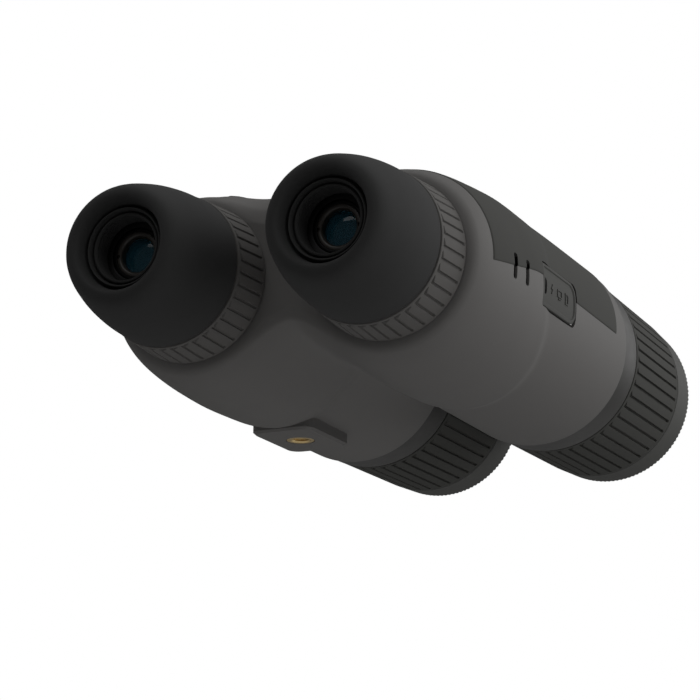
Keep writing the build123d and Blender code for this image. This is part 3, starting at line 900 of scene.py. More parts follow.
# ------------------------------------------------------------------ housing
@dataclass(frozen=True)
class HousingForm:
    """The smooth outer form of both barrels and the bridge, as a field to be solved.

    Heights in the bridge curves are from the barrel axis. The right half is worked out and
    the left half mirrors it.
    """

    barrel: Axle
    eye: Axle
    back: float
    front: float
    swell: Sequence[Point2] = (
        (0.0, 25.2), (0.35, 26.6), (1.0, 27.6), (2.2, 28.45), (13.3, 31.0), (26.8, 32.3),
        (40.8, 32.9), (53.0, 32.7), (66.0, 32.2),
    )
    tube: Sequence[Point2] = (
        (0.0, 20.0), (16.8, 28.6), (26.8, 30.9), (37.8, 31.95), (63.8, 32.1), (76.8, 32.3), (123.0, 32.45),
    )
    deck: Sequence[Point2] = (
        (0.0, 15.0), (1.5, 20.0), (8.8, 26.0), (24.8, 28.5), (114.8, 28.5), (120.8, 20.0), (123.0, 12.0),
    )
    belly: Sequence[Point2] = (
        (0.0, -12.0), (1.5, -15.0), (21.8, -18.0), (76.8, -15.0), (116.8, -8.0), (123.0, -6.0)
    )
    web_half: float = 22.0
    split: float = 16.0
    crease_at: float = 64.3
    crease_sweep: float = 16.5
    crease_drop: float = 3.0
    edge: float = 0.5

    def field(self, x: np.ndarray, z: np.ndarray, y: np.ndarray) -> np.ndarray:
        """Signed distance, nearly, from the form's surface; negative inside.

        Args:
            x: Places across, in millimetres.
            z: Heights, in millimetres.
            y: Stations along the barrel, in millimetres.

        Returns:
            The distance at each place.
        """
        s = y - self.back
        up = z - self.barrel.z
        both = None
        for side in (1.0, -1.0):
            from_eye = np.hypot(side * x - self.eye.x, z - self.eye.z)
            steep = np.abs(z - self.eye.z) / np.maximum(from_eye, 1e-6)
            crease = self.crease_at - self.crease_sweep * (1.0 - steep)
            drop = self.crease_drop * smoothstep((s - crease + 5.0) / 12.0)
            swell = from_eye - monotone(self.swell)(s) + drop
            tube = np.hypot(side * x - self.barrel.x, up) - monotone(self.tube)(s)
            one = smooth_min(swell, tube, 1.2)
            both = one if both is None else smooth_min(both, one, 3.0)
        web = np.maximum(up - monotone(self.deck)(s), monotone(self.belly)(s) - up)
        web = np.maximum(web, np.abs(x) - self.web_half)
        blend = np.where(up > 0, 6.0, 12.0)
        near_end = np.maximum(self.front - y, 0.0)
        round_off = self.edge - np.sqrt(
            np.maximum(self.edge**2 - np.maximum(self.edge - near_end, 0.0) ** 2, 0.0)
        )
        return smooth_min(both, web, blend) + round_off

    def solve(
        self, inside: float, outside: float, test: Callable[[np.ndarray], np.ndarray],
        shape: tuple[int, ...],
    ) -> np.ndarray:
        """Find by halving where a field changes sign between two distances.

        Args:
            inside: A distance inside the form.
            outside: A distance outside the form.
            test: The field as a function of distance.
            shape: Shape of the arrays.

        Returns:
            The distance at which the sign changes.
        """
        low, high = np.full(shape, inside), np.full(shape, outside)
        for _ in range(26):
            middle = (low + high) / 2
            within = test(middle) < 0
            low, high = np.where(within, middle, low), np.where(within, high, middle)
        return (low + high) / 2

    def reach(self, turn: np.ndarray, y: np.ndarray, lift: float | np.ndarray = 0.0) -> np.ndarray:
        """Places on the right barrel's surface in a direction from its axis, in degrees, lifted by lift.

        Args:
            turn: Angle round the axis, in degrees.
            y: Stations along the barrel, in millimetres.
            lift: Distance outside the surface, in millimetres.

        Returns:
            Places on the surface.
        """
        turn, y, lift = np.broadcast_arrays(np.asarray(turn, float), y, lift)
        c, s = np.cos(np.radians(turn)), np.sin(np.radians(turn))
        out = self.solve(
            2.0,
            60.0,
            lambda r: self.field(self.barrel.x + r * c, self.barrel.z + r * s, y) - lift,
            turn.shape,
        )
        return np.stack([self.barrel.x + out * c, y, self.barrel.z + out * s], axis=-1)

    def level(
        self, x: np.ndarray, y: np.ndarray, top: bool, lift: float | np.ndarray = 0.0
    ) -> np.ndarray:
        """Places on the upper or lower surface over a point of the plan, lifted by lift.

        Args:
            x: Places across, in millimetres.
            y: Stations along the barrel, in millimetres.
            top: Whether it is the upper surface.
            lift: Distance outside the surface, in millimetres.

        Returns:
            Places on the surface.
        """
        x, y, lift = np.broadcast_arrays(np.asarray(x, float), y, lift)
        way = 1.0 if top else -1.0
        out = self.solve(0.0, 60.0, lambda h: self.field(x, self.barrel.z + way * h, y) - lift, x.shape)
        return np.stack([x, y, self.barrel.z + way * out], axis=-1)

    def section(self, stations: np.ndarray, around: int, across: int, lift: float) -> np.ndarray:
        """Closed sections of the whole form, one row of points for each station.

        Args:
            stations: Positions along the housing.
            around: Points round one barrel.
            across: Points across half of the bridge.
            lift: Distance outside the surface, in millimetres.

        Returns:
            Rows of points, one for each station.
        """
        y = stations[:, None]
        xs = np.linspace(0.0, self.split, across)[None, :] + 0 * y
        low, high = self.level(xs, y, False, lift), self.level(xs, y, True, lift)
        turns = []
        for edge in (low[:, -1], high[:, -1]):
            turns.append(np.degrees(np.arctan2(edge[:, 2] - self.barrel.z, edge[:, 0] - self.barrel.x)))
        start, stop = turns[0] - np.where(turns[0] > 0, 360.0, 0.0), turns[1]
        share = np.linspace(0.0, 1.0, around)[None, :]
        barrel = self.reach(start[:, None] + share * (stop - start)[:, None], y, lift)
        right = np.concatenate([low, barrel[:, 1:-1], high[:, ::-1]], axis=1)
        left = right[:, -2:0:-1] * np.array([-1.0, 1.0, 1.0])
        return np.concatenate([right, left], axis=1)

    def shell(
        self, stations: np.ndarray, around: int, across: int, lift: float, inward: bool
    ) -> tuple[np.ndarray, list[list[int]]]:
        """Points and faces of the form closed at both ends.

        Args:
            stations: Positions along the housing.
            around: Points round one barrel.
            across: Points across half of the bridge.
            lift: Distance outside the surface, in millimetres.
            inward: Whether the faces look inwards.

        Returns:
            The points and the faces.
        """
        rows = self.section(stations, around, across, lift)
        count, width = rows.shape[:2]
        faces = grid_faces(count, width, wrap_cols=True)
        faces += [list(range(width))[::-1], [(count - 1) * width + i for i in range(width)]]
        if not inward:
            faces = [f[::-1] for f in faces]
        return rows.reshape(-1, 3), faces


@dataclass
class Housing:
    """The armoured housing with its panels, deck cover, strap slots and tripod pad."""

    form: HousingForm
    wall: float = 3.2
    stations: int = 132
    bore_gap: float = 0.1
    slot_y: tuple[float, float] = (-54.8, -46.2)
    slot_size: Point2 = (2.4, 8.0)
    slot_corner: float = 1.0
    slot_drop: float = 1.0
    shade_liner_wall: float = 0.18
    pad_size: Point2 = (22.0, 32.0)
    pad_corner: float = 4.0
    pad_edge: float = 0.8
    pad_top: float = 6.0
    panel_round: float = 0.7
    key_hole: float = 4.8
    bay_gap: float = 0.3
    bay_swing: float = 1.6
    tray_floor: float = 29.2
    panel_lift: float = 0.28
    panel_skin: float = 1.0
    panel_front: Point2 = (35.6, 45.3)
    panel_slant: float = 75.0
    panel_back: float = -68.6
    panel_top: float = 112.0
    panel_edge: Sequence[Point2] = ((-71.4, -3.4), (-54.9, -1.1), (-33.5, 1.65), (-3.4, 0.8), (35.6, 0.1))

    def build(self) -> None:
        """Make every piece of the housing."""
        self._skin()
        for name, side in SIDES.items():
            self._panel(name, side)
            self._slot_shade_liner(name, side)
        self._tray()
        self._deck_cover()

    def _stations(self) -> np.ndarray:
        """Stations along the housing, close together where the ends round off.

        Returns:
            Positions from the back to the front.
        """
        back, front = self.form.back, self.form.front
        tail = back + np.array([0.0, 0.1, 0.22, 0.38, 0.6, 0.9, 1.25, 1.7, 2.2, 2.9, 3.8])
        nose = front - np.array([2.5, 1.4, 0.8, 0.45, 0.28, 0.14, 0.05, 0.0])
        middle = np.linspace(tail[-1], nose[0], self.stations)[1:-1]
        return np.concatenate([tail, middle, nose])

    def _skin(self) -> None:
        """The two-part armour as one closed shell with all its holes."""
        points, faces = self.form.shell(self._stations(), 190, 14, 0.0, False)
        inner_y = np.linspace(self.form.back + self.wall, self.form.front - self.wall, 44)
        hollow, hollow_faces = self.form.shell(inner_y, 70, 6, -self.wall, True)
        faces += [[i + len(points) for i in f] for f in hollow_faces]
        skin = mesh_object("housing_skin", np.concatenate([points, hollow]), faces, ARMOUR)
        self._add_tripod_pad(skin)
        for tool in self._tools():
            carve(skin, tool)
        settle(skin, angle=38.0, outward=False)
        hand_over(skin, "housing", "grey_armour", ["lower_housing", "upper_housing"])

    def _add_tripod_pad(self, skin: bpy.types.Object) -> None:
        """Flat pad for a tripod plate, with a turned-down edge.

        Args:
            skin: The armour mesh.
        """
        insert = Span.of("tripod_socket")
        x, y, _ = insert.mid
        outline = resampled(rounded_rectangle(*self.pad_size, (self.pad_corner,) * 4), 2.0)
        chamfer = outline * (1 - self.pad_edge / np.abs(outline).max(axis=0))
        rings = [(chamfer, 0.0), (outline, self.pad_edge), (outline, self.pad_top)]
        count = len(outline)
        places = np.concatenate([along_z(ring[:, 0] + x, ring[:, 1] + y, level) for ring, level in rings])
        faces = grid_faces(3, count, wrap_cols=True)
        faces += [list(range(count))[::-1], list(range(2 * count, 3 * count))]
        carve(skin, settle(mesh_object("tool", places, faces, ARMOUR)), "UNION")

    def _tools(self) -> list[bpy.types.Object]:
        """Every tool that cuts the armour.

        Returns:
            The tools, in the order of use.
        """
        tools = []
        back, front = self.form.back, self.form.front
        insert = Span.of("tripod_socket")
        for side in SIDES.values():
            eye_r = Span.of("eyepiece_tube_right").size[0] / 2 - 0.9 + self.bore_gap
            tools.append(
                prism(
                    circle(side * self.form.eye.x, self.form.eye.z, eye_r), back - 2.0, back + 5.0,
                    along_y,
                ),
            )
            tube_r = Span.of("lens_hood_right").size[0] / 2 - 3.2
            tools.append(
                prism(
                    circle(side * self.form.barrel.x, self.form.barrel.z, tube_r), front - 5.0,
                    front + 2.0, along_y,
                ),
            )
            for y in self.slot_y:
                tools.append(self._slot_tool(side, y))
        tools.append(self._bay_tool())
        tools.append(
            prism(
                circle(insert.mid[0], insert.mid[1], insert.size[0] / 2 + 0.05), -1.0, insert.high[2],
                along_z,
            ),
        )
        for key in KEY_NAMES:
            y = Span.of(key).mid[1]
            tools.append(
                prism(
                    circle(0.0, y, 5.0, 48), self.form.barrel.z + 22.0, self.form.barrel.z + 34.0, along_z
                ),
            )
        return tools

    def _slot_tool(self, side: float, y: float) -> bpy.types.Object:
        """Tool for one strap slot.

        Args:
            side: -1 for the left barrel, 1 for the right.
            y: Station of the slot, in millimetres.

        Returns:
            The tool.
        """
        middle = np.array([y, self.form.barrel.z - self.slot_drop])
        outline = rounded_rectangle(*self.slot_size, (self.slot_corner,) * 4) + middle
        return prism(outline, self.form.barrel.x + 24.0, self.form.barrel.x + 37.0, along_x(side))

    def _bay_tool(self) -> bpy.types.Object:
        """Tool for the port cover's opening, with room in front for the cover's swing.

        Returns:
            The tool.
        """
        gap, swing = self.bay_gap, self.bay_swing
        length, height, middle = PortCover.plan()
        middle = middle + np.array([(swing - gap) / 2, 0.0])
        outline = rounded_rectangle(length + gap + swing, height + 2 * gap, (2.4, 1.3, 1.3, 2.4)) + middle
        tray = Span.of("port_tray")
        return prism(outline, tray.low[0] - 0.5, tray.high[0] + 4.0, along_x(1.0))

    def _tray(self) -> None:
        """Black tray behind the port cover, with a bay for the sockets."""
        tray = Span.of("port_tray")
        length, height, middle = PortCover.plan()
        block = rounded_rectangle(length + 5.0, height + 2.4, (2.5,) * 4) + middle
        made = redress(
            prism(block, tray.low[0], self.form.barrel.x + self.tray_floor, along_x(1.0)), BLACK
        )
        sockets = [Span.of(name) for name in ("charge_socket", "video_socket", "card_socket")]
        low_y, high_y = min(s.low[1] for s in sockets) - 0.8, max(s.high[1] for s in sockets) + 0.8
        bay = rounded_rectangle(high_y - low_y, 8.6, (1.0,) * 4) + np.array(
            [(low_y + high_y) / 2, sockets[0].mid[2]]
        )
        carve(made, prism(bay, sockets[0].low[0], sockets[0].low[0] + 20.0, along_x(1.0)))
        made.name = "port_tray_bay"
        settle(made, outward=False)
        hand_over(made, "housing", "black_plastic", ["port_tray"])

    def _slot_shade_liner(self, name: str, side: float) -> None:
        """Thin near-black sheets in both strap slots of one barrel: painted shade where the slot walls lie
        in shadow.

        Args:
            name: left or right.
            side: -1 for the left barrel, 1 for the right.
        """
        shade_liners = []
        for y in self.slot_y:
            edge = self.form.reach(np.array([-8.0, 8.0]), np.array([y - 1.6, y + 1.6]))
            wide, high = self.slot_size
            middle = np.array([y, self.form.barrel.z - self.slot_drop])
            top = float(edge[:, 0].min()) - 0.3
            outer = rounded_rectangle(wide - 0.04, high - 0.04, (self.slot_corner - 0.02,) * 4) + middle
            inner = rounded_rectangle(
                wide - 0.04 - 2 * self.shade_liner_wall, high - 0.04 - 2 * self.shade_liner_wall, (0.8,) * 4
            ) + middle
            shade_liner = prism(outer, self.form.barrel.x + 26.0, top, along_x(side))
            carve(shade_liner, prism(inner, self.form.barrel.x + 25.0, top + 1.0, along_x(side)))
            # Painted shade: the near-black sheet darkens the slot walls.
            shade_liners.append(redress(shade_liner, SHADE_LINER))
        whole = settle(joined(f"strap_slot_liner_{name}", shade_liners), outward=False)
        hand_over(whole, "housing", "black_plastic", [])

    def _panel(self, name: str, side: float) -> None:
        """Dark rubber panel over the top and the outer side of one barrel.

        Args:
            name: left or right.
            side: -1 for the left barrel, 1 for the right.
        """
        low_front, high_front = self.panel_front
        rows = self._crowded(110, 0.9)[:, None]
        low_z = monotone(self.panel_edge)(self.panel_back + (low_front - self.panel_back) * rows)
        start = np.degrees(np.arcsin(low_z / 32.3))
        share = self._crowded(120, 0.9)[None, :]
        turn = start + share * (self.panel_top - start)
        front = low_front + (high_front - low_front) * np.clip(turn / self.panel_slant, 0.0, 1.0)
        y = self.panel_back + (front - self.panel_back) * rows
        border = np.minimum(np.minimum(y - self.panel_back, front - y), (turn - start) * 0.563)
        border = np.minimum(border, (self.panel_top - turn) * 0.563)
        fall = 1.0 - np.sqrt(
            np.maximum(1.0 - np.clip(1.0 - border / self.panel_round, 0.0, 1.0) ** 2, 0.0)
        )
        outer = self.form.reach(turn, y, self.panel_lift - 0.55 * fall)
        inner = self.form.reach(turn, y, -self.panel_skin + 0 * turn)
        if side < 0:
            outer, inner = outer * np.array([-1.0, 1.0, 1.0]), inner * np.array([-1.0, 1.0, 1.0])
        panel = closed_sheet(f"top_panel_{name}_skin", outer, inner, PANEL)
        for y_slot in self.slot_y:
            carve(panel, self._slot_tool(side, y_slot))
        if side > 0:
            carve(panel, self._bay_tool())
        settle(panel, angle=40.0, outward=False)
        hand_over(panel, "housing", "dark_panel", [f"top_panel_{name}"])

    @staticmethod
    def _crowded(count: int, pull: float) -> np.ndarray:
        """Shares from 0 to 1 that crowd towards both ends.

        Args:
            count: Number of shares.
            pull: How strongly they crowd, from 0 to 1.

        Returns:
            The shares.
        """
        even = np.linspace(0.0, 1.0, count)
        return (1 - pull) * even + pull * (0.5 - 0.5 * np.cos(math.pi * even))

    def _deck_cover(self) -> None:
        """Thin cover over the bridge, with a hole for each key."""
        span = Span.of("deck_cover")
        width, length = span.size[0], span.size[1]
        outline = resampled(rounded_rectangle(width, length, (8.0,) * 4, 10), 1.6)
        shares = np.concatenate(
            [[1.0, 0.996, 0.99, 0.98, 0.965, 0.94], np.linspace(0.9, 0.03, 22), [0.0]]
        )
        x = shares[:, None] * outline[None, :, 0]
        y = shares[:, None] * outline[None, :, 1] + span.mid[1]
        border = (1.0 - shares[:, None]) * width / 2
        fall = 1.0 - np.sqrt(
            np.maximum(1.0 - np.clip(1.0 - border / self.panel_round, 0.0, 1.0) ** 2, 0.0)
        )
        outer = self.form.level(x, y, True, 0.3 - 0.6 * fall)
        inner = self.form.level(x, y, True, -1.2 + 0 * x)
        cover = closed_disc("deck_cover_skin", outer, inner, PANEL)
        for key in KEY_NAMES:
            spot = Span.of(key).mid[1]
            carve(
                cover,
                prism(
                    circle(0.0, spot, self.key_hole, 64), self.form.barrel.z + 20.0,
                    self.form.barrel.z + 34.0, along_z,
                ),
            )
        settle(cover, angle=40.0, outward=False)
        hand_over(cover, "housing", "dark_panel", ["deck_cover"])


def closed_sheet(name: str, outer: np.ndarray, inner: np.ndarray, finish: Finish) -> bpy.types.Object:
    """Close two grids of the same size into one thin solid.

    Args:
        name: Name of the piece.
        outer: Outside points.
        inner: Inside points.
        finish: What it is dressed in.

    Returns:
        The closed mesh object.
    """
    rows, cols = outer.shape[:2]
    faces = grid_faces(rows, cols)
    offset = rows * cols
    faces += [[i + offset for i in f[::-1]] for f in grid_faces(rows, cols)]
    rim = [r * cols for r in range(rows)]
    rim += [(rows - 1) * cols + c for c in range(1, cols)]
    rim += [r * cols + cols - 1 for r in range(rows - 2, -1, -1)]
    rim += list(range(cols - 2, 0, -1))
    for a, b in zip(rim, rim[1:] + rim[:1]):
        faces.append([a, b, b + offset, a + offset])
    points = np.concatenate([outer.reshape(-1, 3), inner.reshape(-1, 3)])
    return settle(mesh_object(name, points, faces, finish))


def closed_disc(name: str, outer: np.ndarray, inner: np.ndarray, finish: Finish) -> bpy.types.Object:
    """Close two stacks of rings, each running from the border to one middle point.

    Args:
        name: Name of the piece.
        outer: Outside points.
        inner: Inside points.
        finish: What it is dressed in.

    Returns:
        The closed mesh object.
    """
    rings, around = outer.shape[:2]
    faces = grid_faces(rings, around, wrap_cols=True)
    offset = rings * around
    faces += [[i + offset for i in f[::-1]] for f in grid_faces(rings, around, wrap_cols=True)]
    faces += [[i, (i + 1) % around, offset + (i + 1) % around, offset + i] for i in range(around)]
    points = np.concatenate([outer.reshape(-1, 3), inner.reshape(-1, 3)])
    return settle(mesh_object(name, points, faces, finish))


# ------------------------------------------------------------------ pictograms
class Sign(Enum):
    """Plain pictograms, as strokes of (across, up) points in a box 2 wide and 2 high."""

    POWER = ((
        (-0.55, 0.55), (-0.8, 0.0), (-0.55, -0.55), (0.0, -0.8), (0.55, -0.55), (0.8, 0.0), (0.55, 0.55)
    ),
             ((0.0, 0.9), (0.0, 0.1)))
    DOWN = (((-0.7, 0.35), (0.0, -0.45), (0.7, 0.35)),)
    UP = (((-0.7, -0.35), (0.0, 0.45), (0.7, -0.35)),)
    TICK = (((-0.7, 0.0), (-0.2, -0.5), (0.7, 0.5)),)
    RECORD = (((-0.5, 0.0), (-0.35, 0.35), (0.0, 0.5), (0.35, 0.35), (0.5, 0.0), (0.35, -0.35), (0.0, -0.5),
               (-0.35, -0.35), (-0.5, 0.0)),)
    BOLT = (((0.25, 0.95), (-0.35, 0.05), (0.35, -0.05), (-0.25, -0.95)),)
    SCREEN = (
        ((-0.9, 0.6), (0.9, 0.6), (0.9, -0.5), (-0.9, -0.5), (-0.9, 0.6)), ((-0.4, -0.9), (0.4, -0.9))
    )
    CARD = (((-0.6, -0.9), (-0.6, 0.9), (0.25, 0.9), (0.6, 0.5), (0.6, -0.9), (-0.6, -0.9)),)


def stroke_bars(sign: Sign, scale: float, width: float) -> list[np.ndarray]:
    """Outline of each straight bar of a pictogram, with square overlapping ends.

    Args:
        sign: The pictogram.
        scale: Half of its size, in millimetres.
        width: Width of a stroke, in millimetres.

    Returns:
        Four corners for each bar.
    """
    bars = []
    for stroke in sign.value:
        for a, b in zip(stroke, stroke[1:]):
            a, b = np.array(a) * scale, np.array(b) * scale
            way = (b - a) / np.linalg.norm(b - a)
            side = np.array([-way[1], way[0]]) * width / 2
            cap = way * width * 0.3
            bars.append(np.array([a - cap - side, b + cap - side, b + cap + side, a - cap + side]))
    return bars


# ------------------------------------------------------------------ keys
KEY_NAMES = {
    "power_button": Sign.POWER,
    "down_button": Sign.DOWN,
    "ok_button": Sign.TICK,
    "up_button": Sign.UP,
    "record_button": Sign.RECORD,
}


@dataclass(frozen=True)
class Key:
    """A domed rubber key with a raised pictogram."""

    name: str
    sign: Sign
    radius: float = 4.35
    dish: float = 0.35

    def build(self) -> None:
        """Make the cap and its pictogram as one piece."""
        span = Span.of(self.name)
        top, y = span.high[2], span.mid[1]
        flange = self.radius + 0.9
        corners = [
            (0.0, top - 7.0), (2.0, top - 7.0), (2.0, top - 5.0), (flange, top - 5.0), (flange, top - 4.0)
        ]
        corners += [(self.radius, top - 4.0), (self.radius, top - 0.1), (self.radius - 0.9, top)]
        corners += [(self.radius * 0.5, top - self.dish * 0.7), (0.0, top - self.dish)]
        outline = softened(corners, 0.45, 3)
        outline = [(max(r, 0.0), h) for r, h in outline]
        outline[0], outline[-1] = (0.0, outline[0][1]), (0.0, outline[-1][1])
        turn = np.arange(64) * TAU / 64
        r, h = np.array(outline).T
        points = np.stack(
            [
                r[None] * np.cos(turn)[:, None],
                y + r[None] * np.sin(turn)[:, None],
                h[None] + 0 * turn[:, None],
            ],
            axis=-1,
        )
        cap = mesh_object("cap", points.reshape(-1, 3), grid_faces(64, len(r), True, True), KEYS)
        parts = [settle(cap)]
        for bar in stroke_bars(self.sign, 1.9, 0.42):
            parts.append(prism(bar + np.array([0.0, y]), top - 1.2, top - 0.05, along_z))
        key = settle(joined(f"{self.name}_cap", [redress(p, KEYS) for p in parts]), outward=False)
        hand_over(key, self.name, "button_rubber", [self.name])


def redress(obj: bpy.types.Object, finish: Finish) -> bpy.types.Object:
    """Give an object one finish all over.

    Args:
        obj: The mesh object.
        finish: What it is dressed in.

    Returns:
        The same object.
    """
    obj.data.materials.clear()
    obj.data.materials.append(finish.material())
    return obj


# ------------------------------------------------------------------ port cover
@dataclass(frozen=True)
class PortCover:
    """Soft hinged cover over the sockets, curved with the barrel."""

    barrel: Axle
    radius: float = 32.75
    border: float = 1.15
    border_rise: float = 0.42
    notch: Point2 = (2.4, 5.2)
    rear_lip: float = 1.2
    top_lip: float = 1.6
    corner_front: float = 3.8
    corner_back: float = 1.0

    def build(self) -> None:
        """Make the cover, its raised border, its finger notch and its pictograms."""
        length, height, middle = self.plan()
        corners = (self.corner_front, self.corner_back, self.corner_back, self.corner_front)
        outline = resampled(rounded_rectangle(length, height, corners, 10), 0.5)
        depths = np.concatenate(
            [
                [0.0, 0.06, 0.16, 0.3, 0.5, 0.8, 1.0, 1.12, 1.24, 1.4, 1.7, 2.2],
                np.linspace(3.0, height / 2, 8),
            ],
        )
        shares = 1.0 - depths / (height / 2)
        core = np.clip(outline, [-(length - height) / 2, 0.0], [(length - height) / 2, 0.0])
        core[:, 1] = 0.0
        flat = core[None] + (outline - core)[None] * shares[:, None, None]
        level = -0.30 * (1 - np.sqrt(np.maximum(1 - np.clip(1 - depths / 0.3, 0, 1) ** 2, 0)))
        level = level + self.border_rise * (1.0 - smoothstep((depths - self.border + 0.15) / 0.3))
        outer = self._bent(flat + middle, self.radius - self.border_rise + level[:, None])
        inner = self._bent(flat + middle, np.full(flat.shape[:2], self.radius - 1.9))
        cover = closed_disc("port_cover_skin", outer, inner, PORT)
        spot = middle - np.array([length / 2 - 1.3 - self.notch[0] / 2, 0.3])
        notch = rounded_rectangle(*self.notch, (1.15,) * 4) + spot
        carve(
            cover,
            prism(
                notch, self.barrel.x + self.radius - 4.0, self.barrel.x + self.radius + 3.0, along_x(1.0)
            ),
        )
        parts = [cover, *self._signs(middle)]
        whole = settle(
            joined("port_cover_door", [redress(p, PORT) for p in parts]), angle=40.0, outward=False
        )
        hand_over(whole, "port_cover", "port_rubber", ["port_cover"])
        self._notch_shade_liner(spot)
        self._pin()

    @classmethod
    def plan(cls) -> tuple[float, float, np.ndarray]:
        """Length, height and middle of the cover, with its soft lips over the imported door.

        Returns:
            Length, height and middle.
        """
        door = Span.of("port_cover")
        middle = np.array([door.mid[1] - cls.rear_lip / 2, door.mid[2] + cls.top_lip / 2])
        return door.size[1] + cls.rear_lip, door.size[2] + cls.top_lip, middle

    def _notch_shade_liner(self, spot: np.ndarray) -> None:
        """Near-black sheet inside the finger notch: painted shade for its shadowed walls.

        Args:
            spot: Middle of the notch, along and up.
        """
        wide, high = self.notch
        outer = rounded_rectangle(wide - 0.04, high - 0.04, (1.13,) * 4) + spot
        inner = rounded_rectangle(wide - 0.4, high - 0.4, (0.95,) * 4) + spot
        low, top = self.barrel.x + self.radius - 2.0, self.barrel.x + self.radius - 0.55
        # Painted shade: the near-black sheet darkens the notch walls.
        shade_liner = redress(prism(outer, low, top, along_x(1.0)), SHADE_LINER)
        carve(shade_liner, prism(inner, low + 0.3, top + 1.0, along_x(1.0)))
        shade_liner.name = "port_cover_notch_shade"
        settle(shade_liner, outward=False)
        hand_over(shade_liner, "port_cover", "black_plastic", [])

    def _pin(self) -> None:
        """Steel hinge pin, ending inside the cover's height."""
        span, door = Span.of("port_cover_pin"), Span.of("port_cover")
        rim = circle(span.mid[0], span.mid[1], span.size[0] / 2, 32)
        pin = redress(prism(rim, door.low[2] + 0.4, door.high[2] - 0.4, along_z), STEEL)
        pin.name = "port_cover_hinge_pin"
        hand_over(pin, "housing", "steel_pin", ["port_cover_pin"])

    def _signs(self, middle: np.ndarray) -> list[bpy.types.Object]:
        """Raised pictograms for the three sockets.

        Args:
            middle: Middle of the cover, along and up.

        Returns:
            The bars as mesh objects.
        """
        made = []
        spots = ((Sign.BOLT, -6.4, 1.5), (Sign.SCREEN, 0.2, 1.9), (Sign.CARD, 6.6, 1.8))
        for sign, along, scale in spots:
            for bar in stroke_bars(sign, scale, 0.42):
                outline = resampled(bar + middle + np.array([along, 0.0]), 0.6)
                made.append(
                    prism(
                        outline, self.radius - self.border_rise - 0.5, self.radius - 0.12,
                        self._bent_level,
                    ),
                )
        return made

    def _bent_level(self, a: np.ndarray, b: np.ndarray, level: float) -> np.ndarray:
        """Place an outline's (along, height) columns on the barrel at a radius.

        Args:
            a: First column of the outline.
            b: Second column of the outline.
            level: Place along the third axis, in millimetres.

        Returns:
            Places in millimetres.
        """
        return self._bent(np.stack([a, b], axis=-1), np.full(a.shape, level))

    def _bent(self, flat: np.ndarray, radius: np.ndarray) -> np.ndarray:
        """Places at a radius on the barrel, over (along, height) points.

        Args:
            flat: Points of (along, height).
            radius: Distance from the axis, in millimetres.

        Returns:
            Places in millimetres.
        """
        up = flat[..., 1] - self.barrel.z
        turn = np.arcsin(np.clip(up / self.radius, -1, 1))
        return np.stack(
            [self.barrel.x + radius * np.cos(turn), flat[..., 0], self.barrel.z + radius * np.sin(turn)],
            axis=-1,
        )


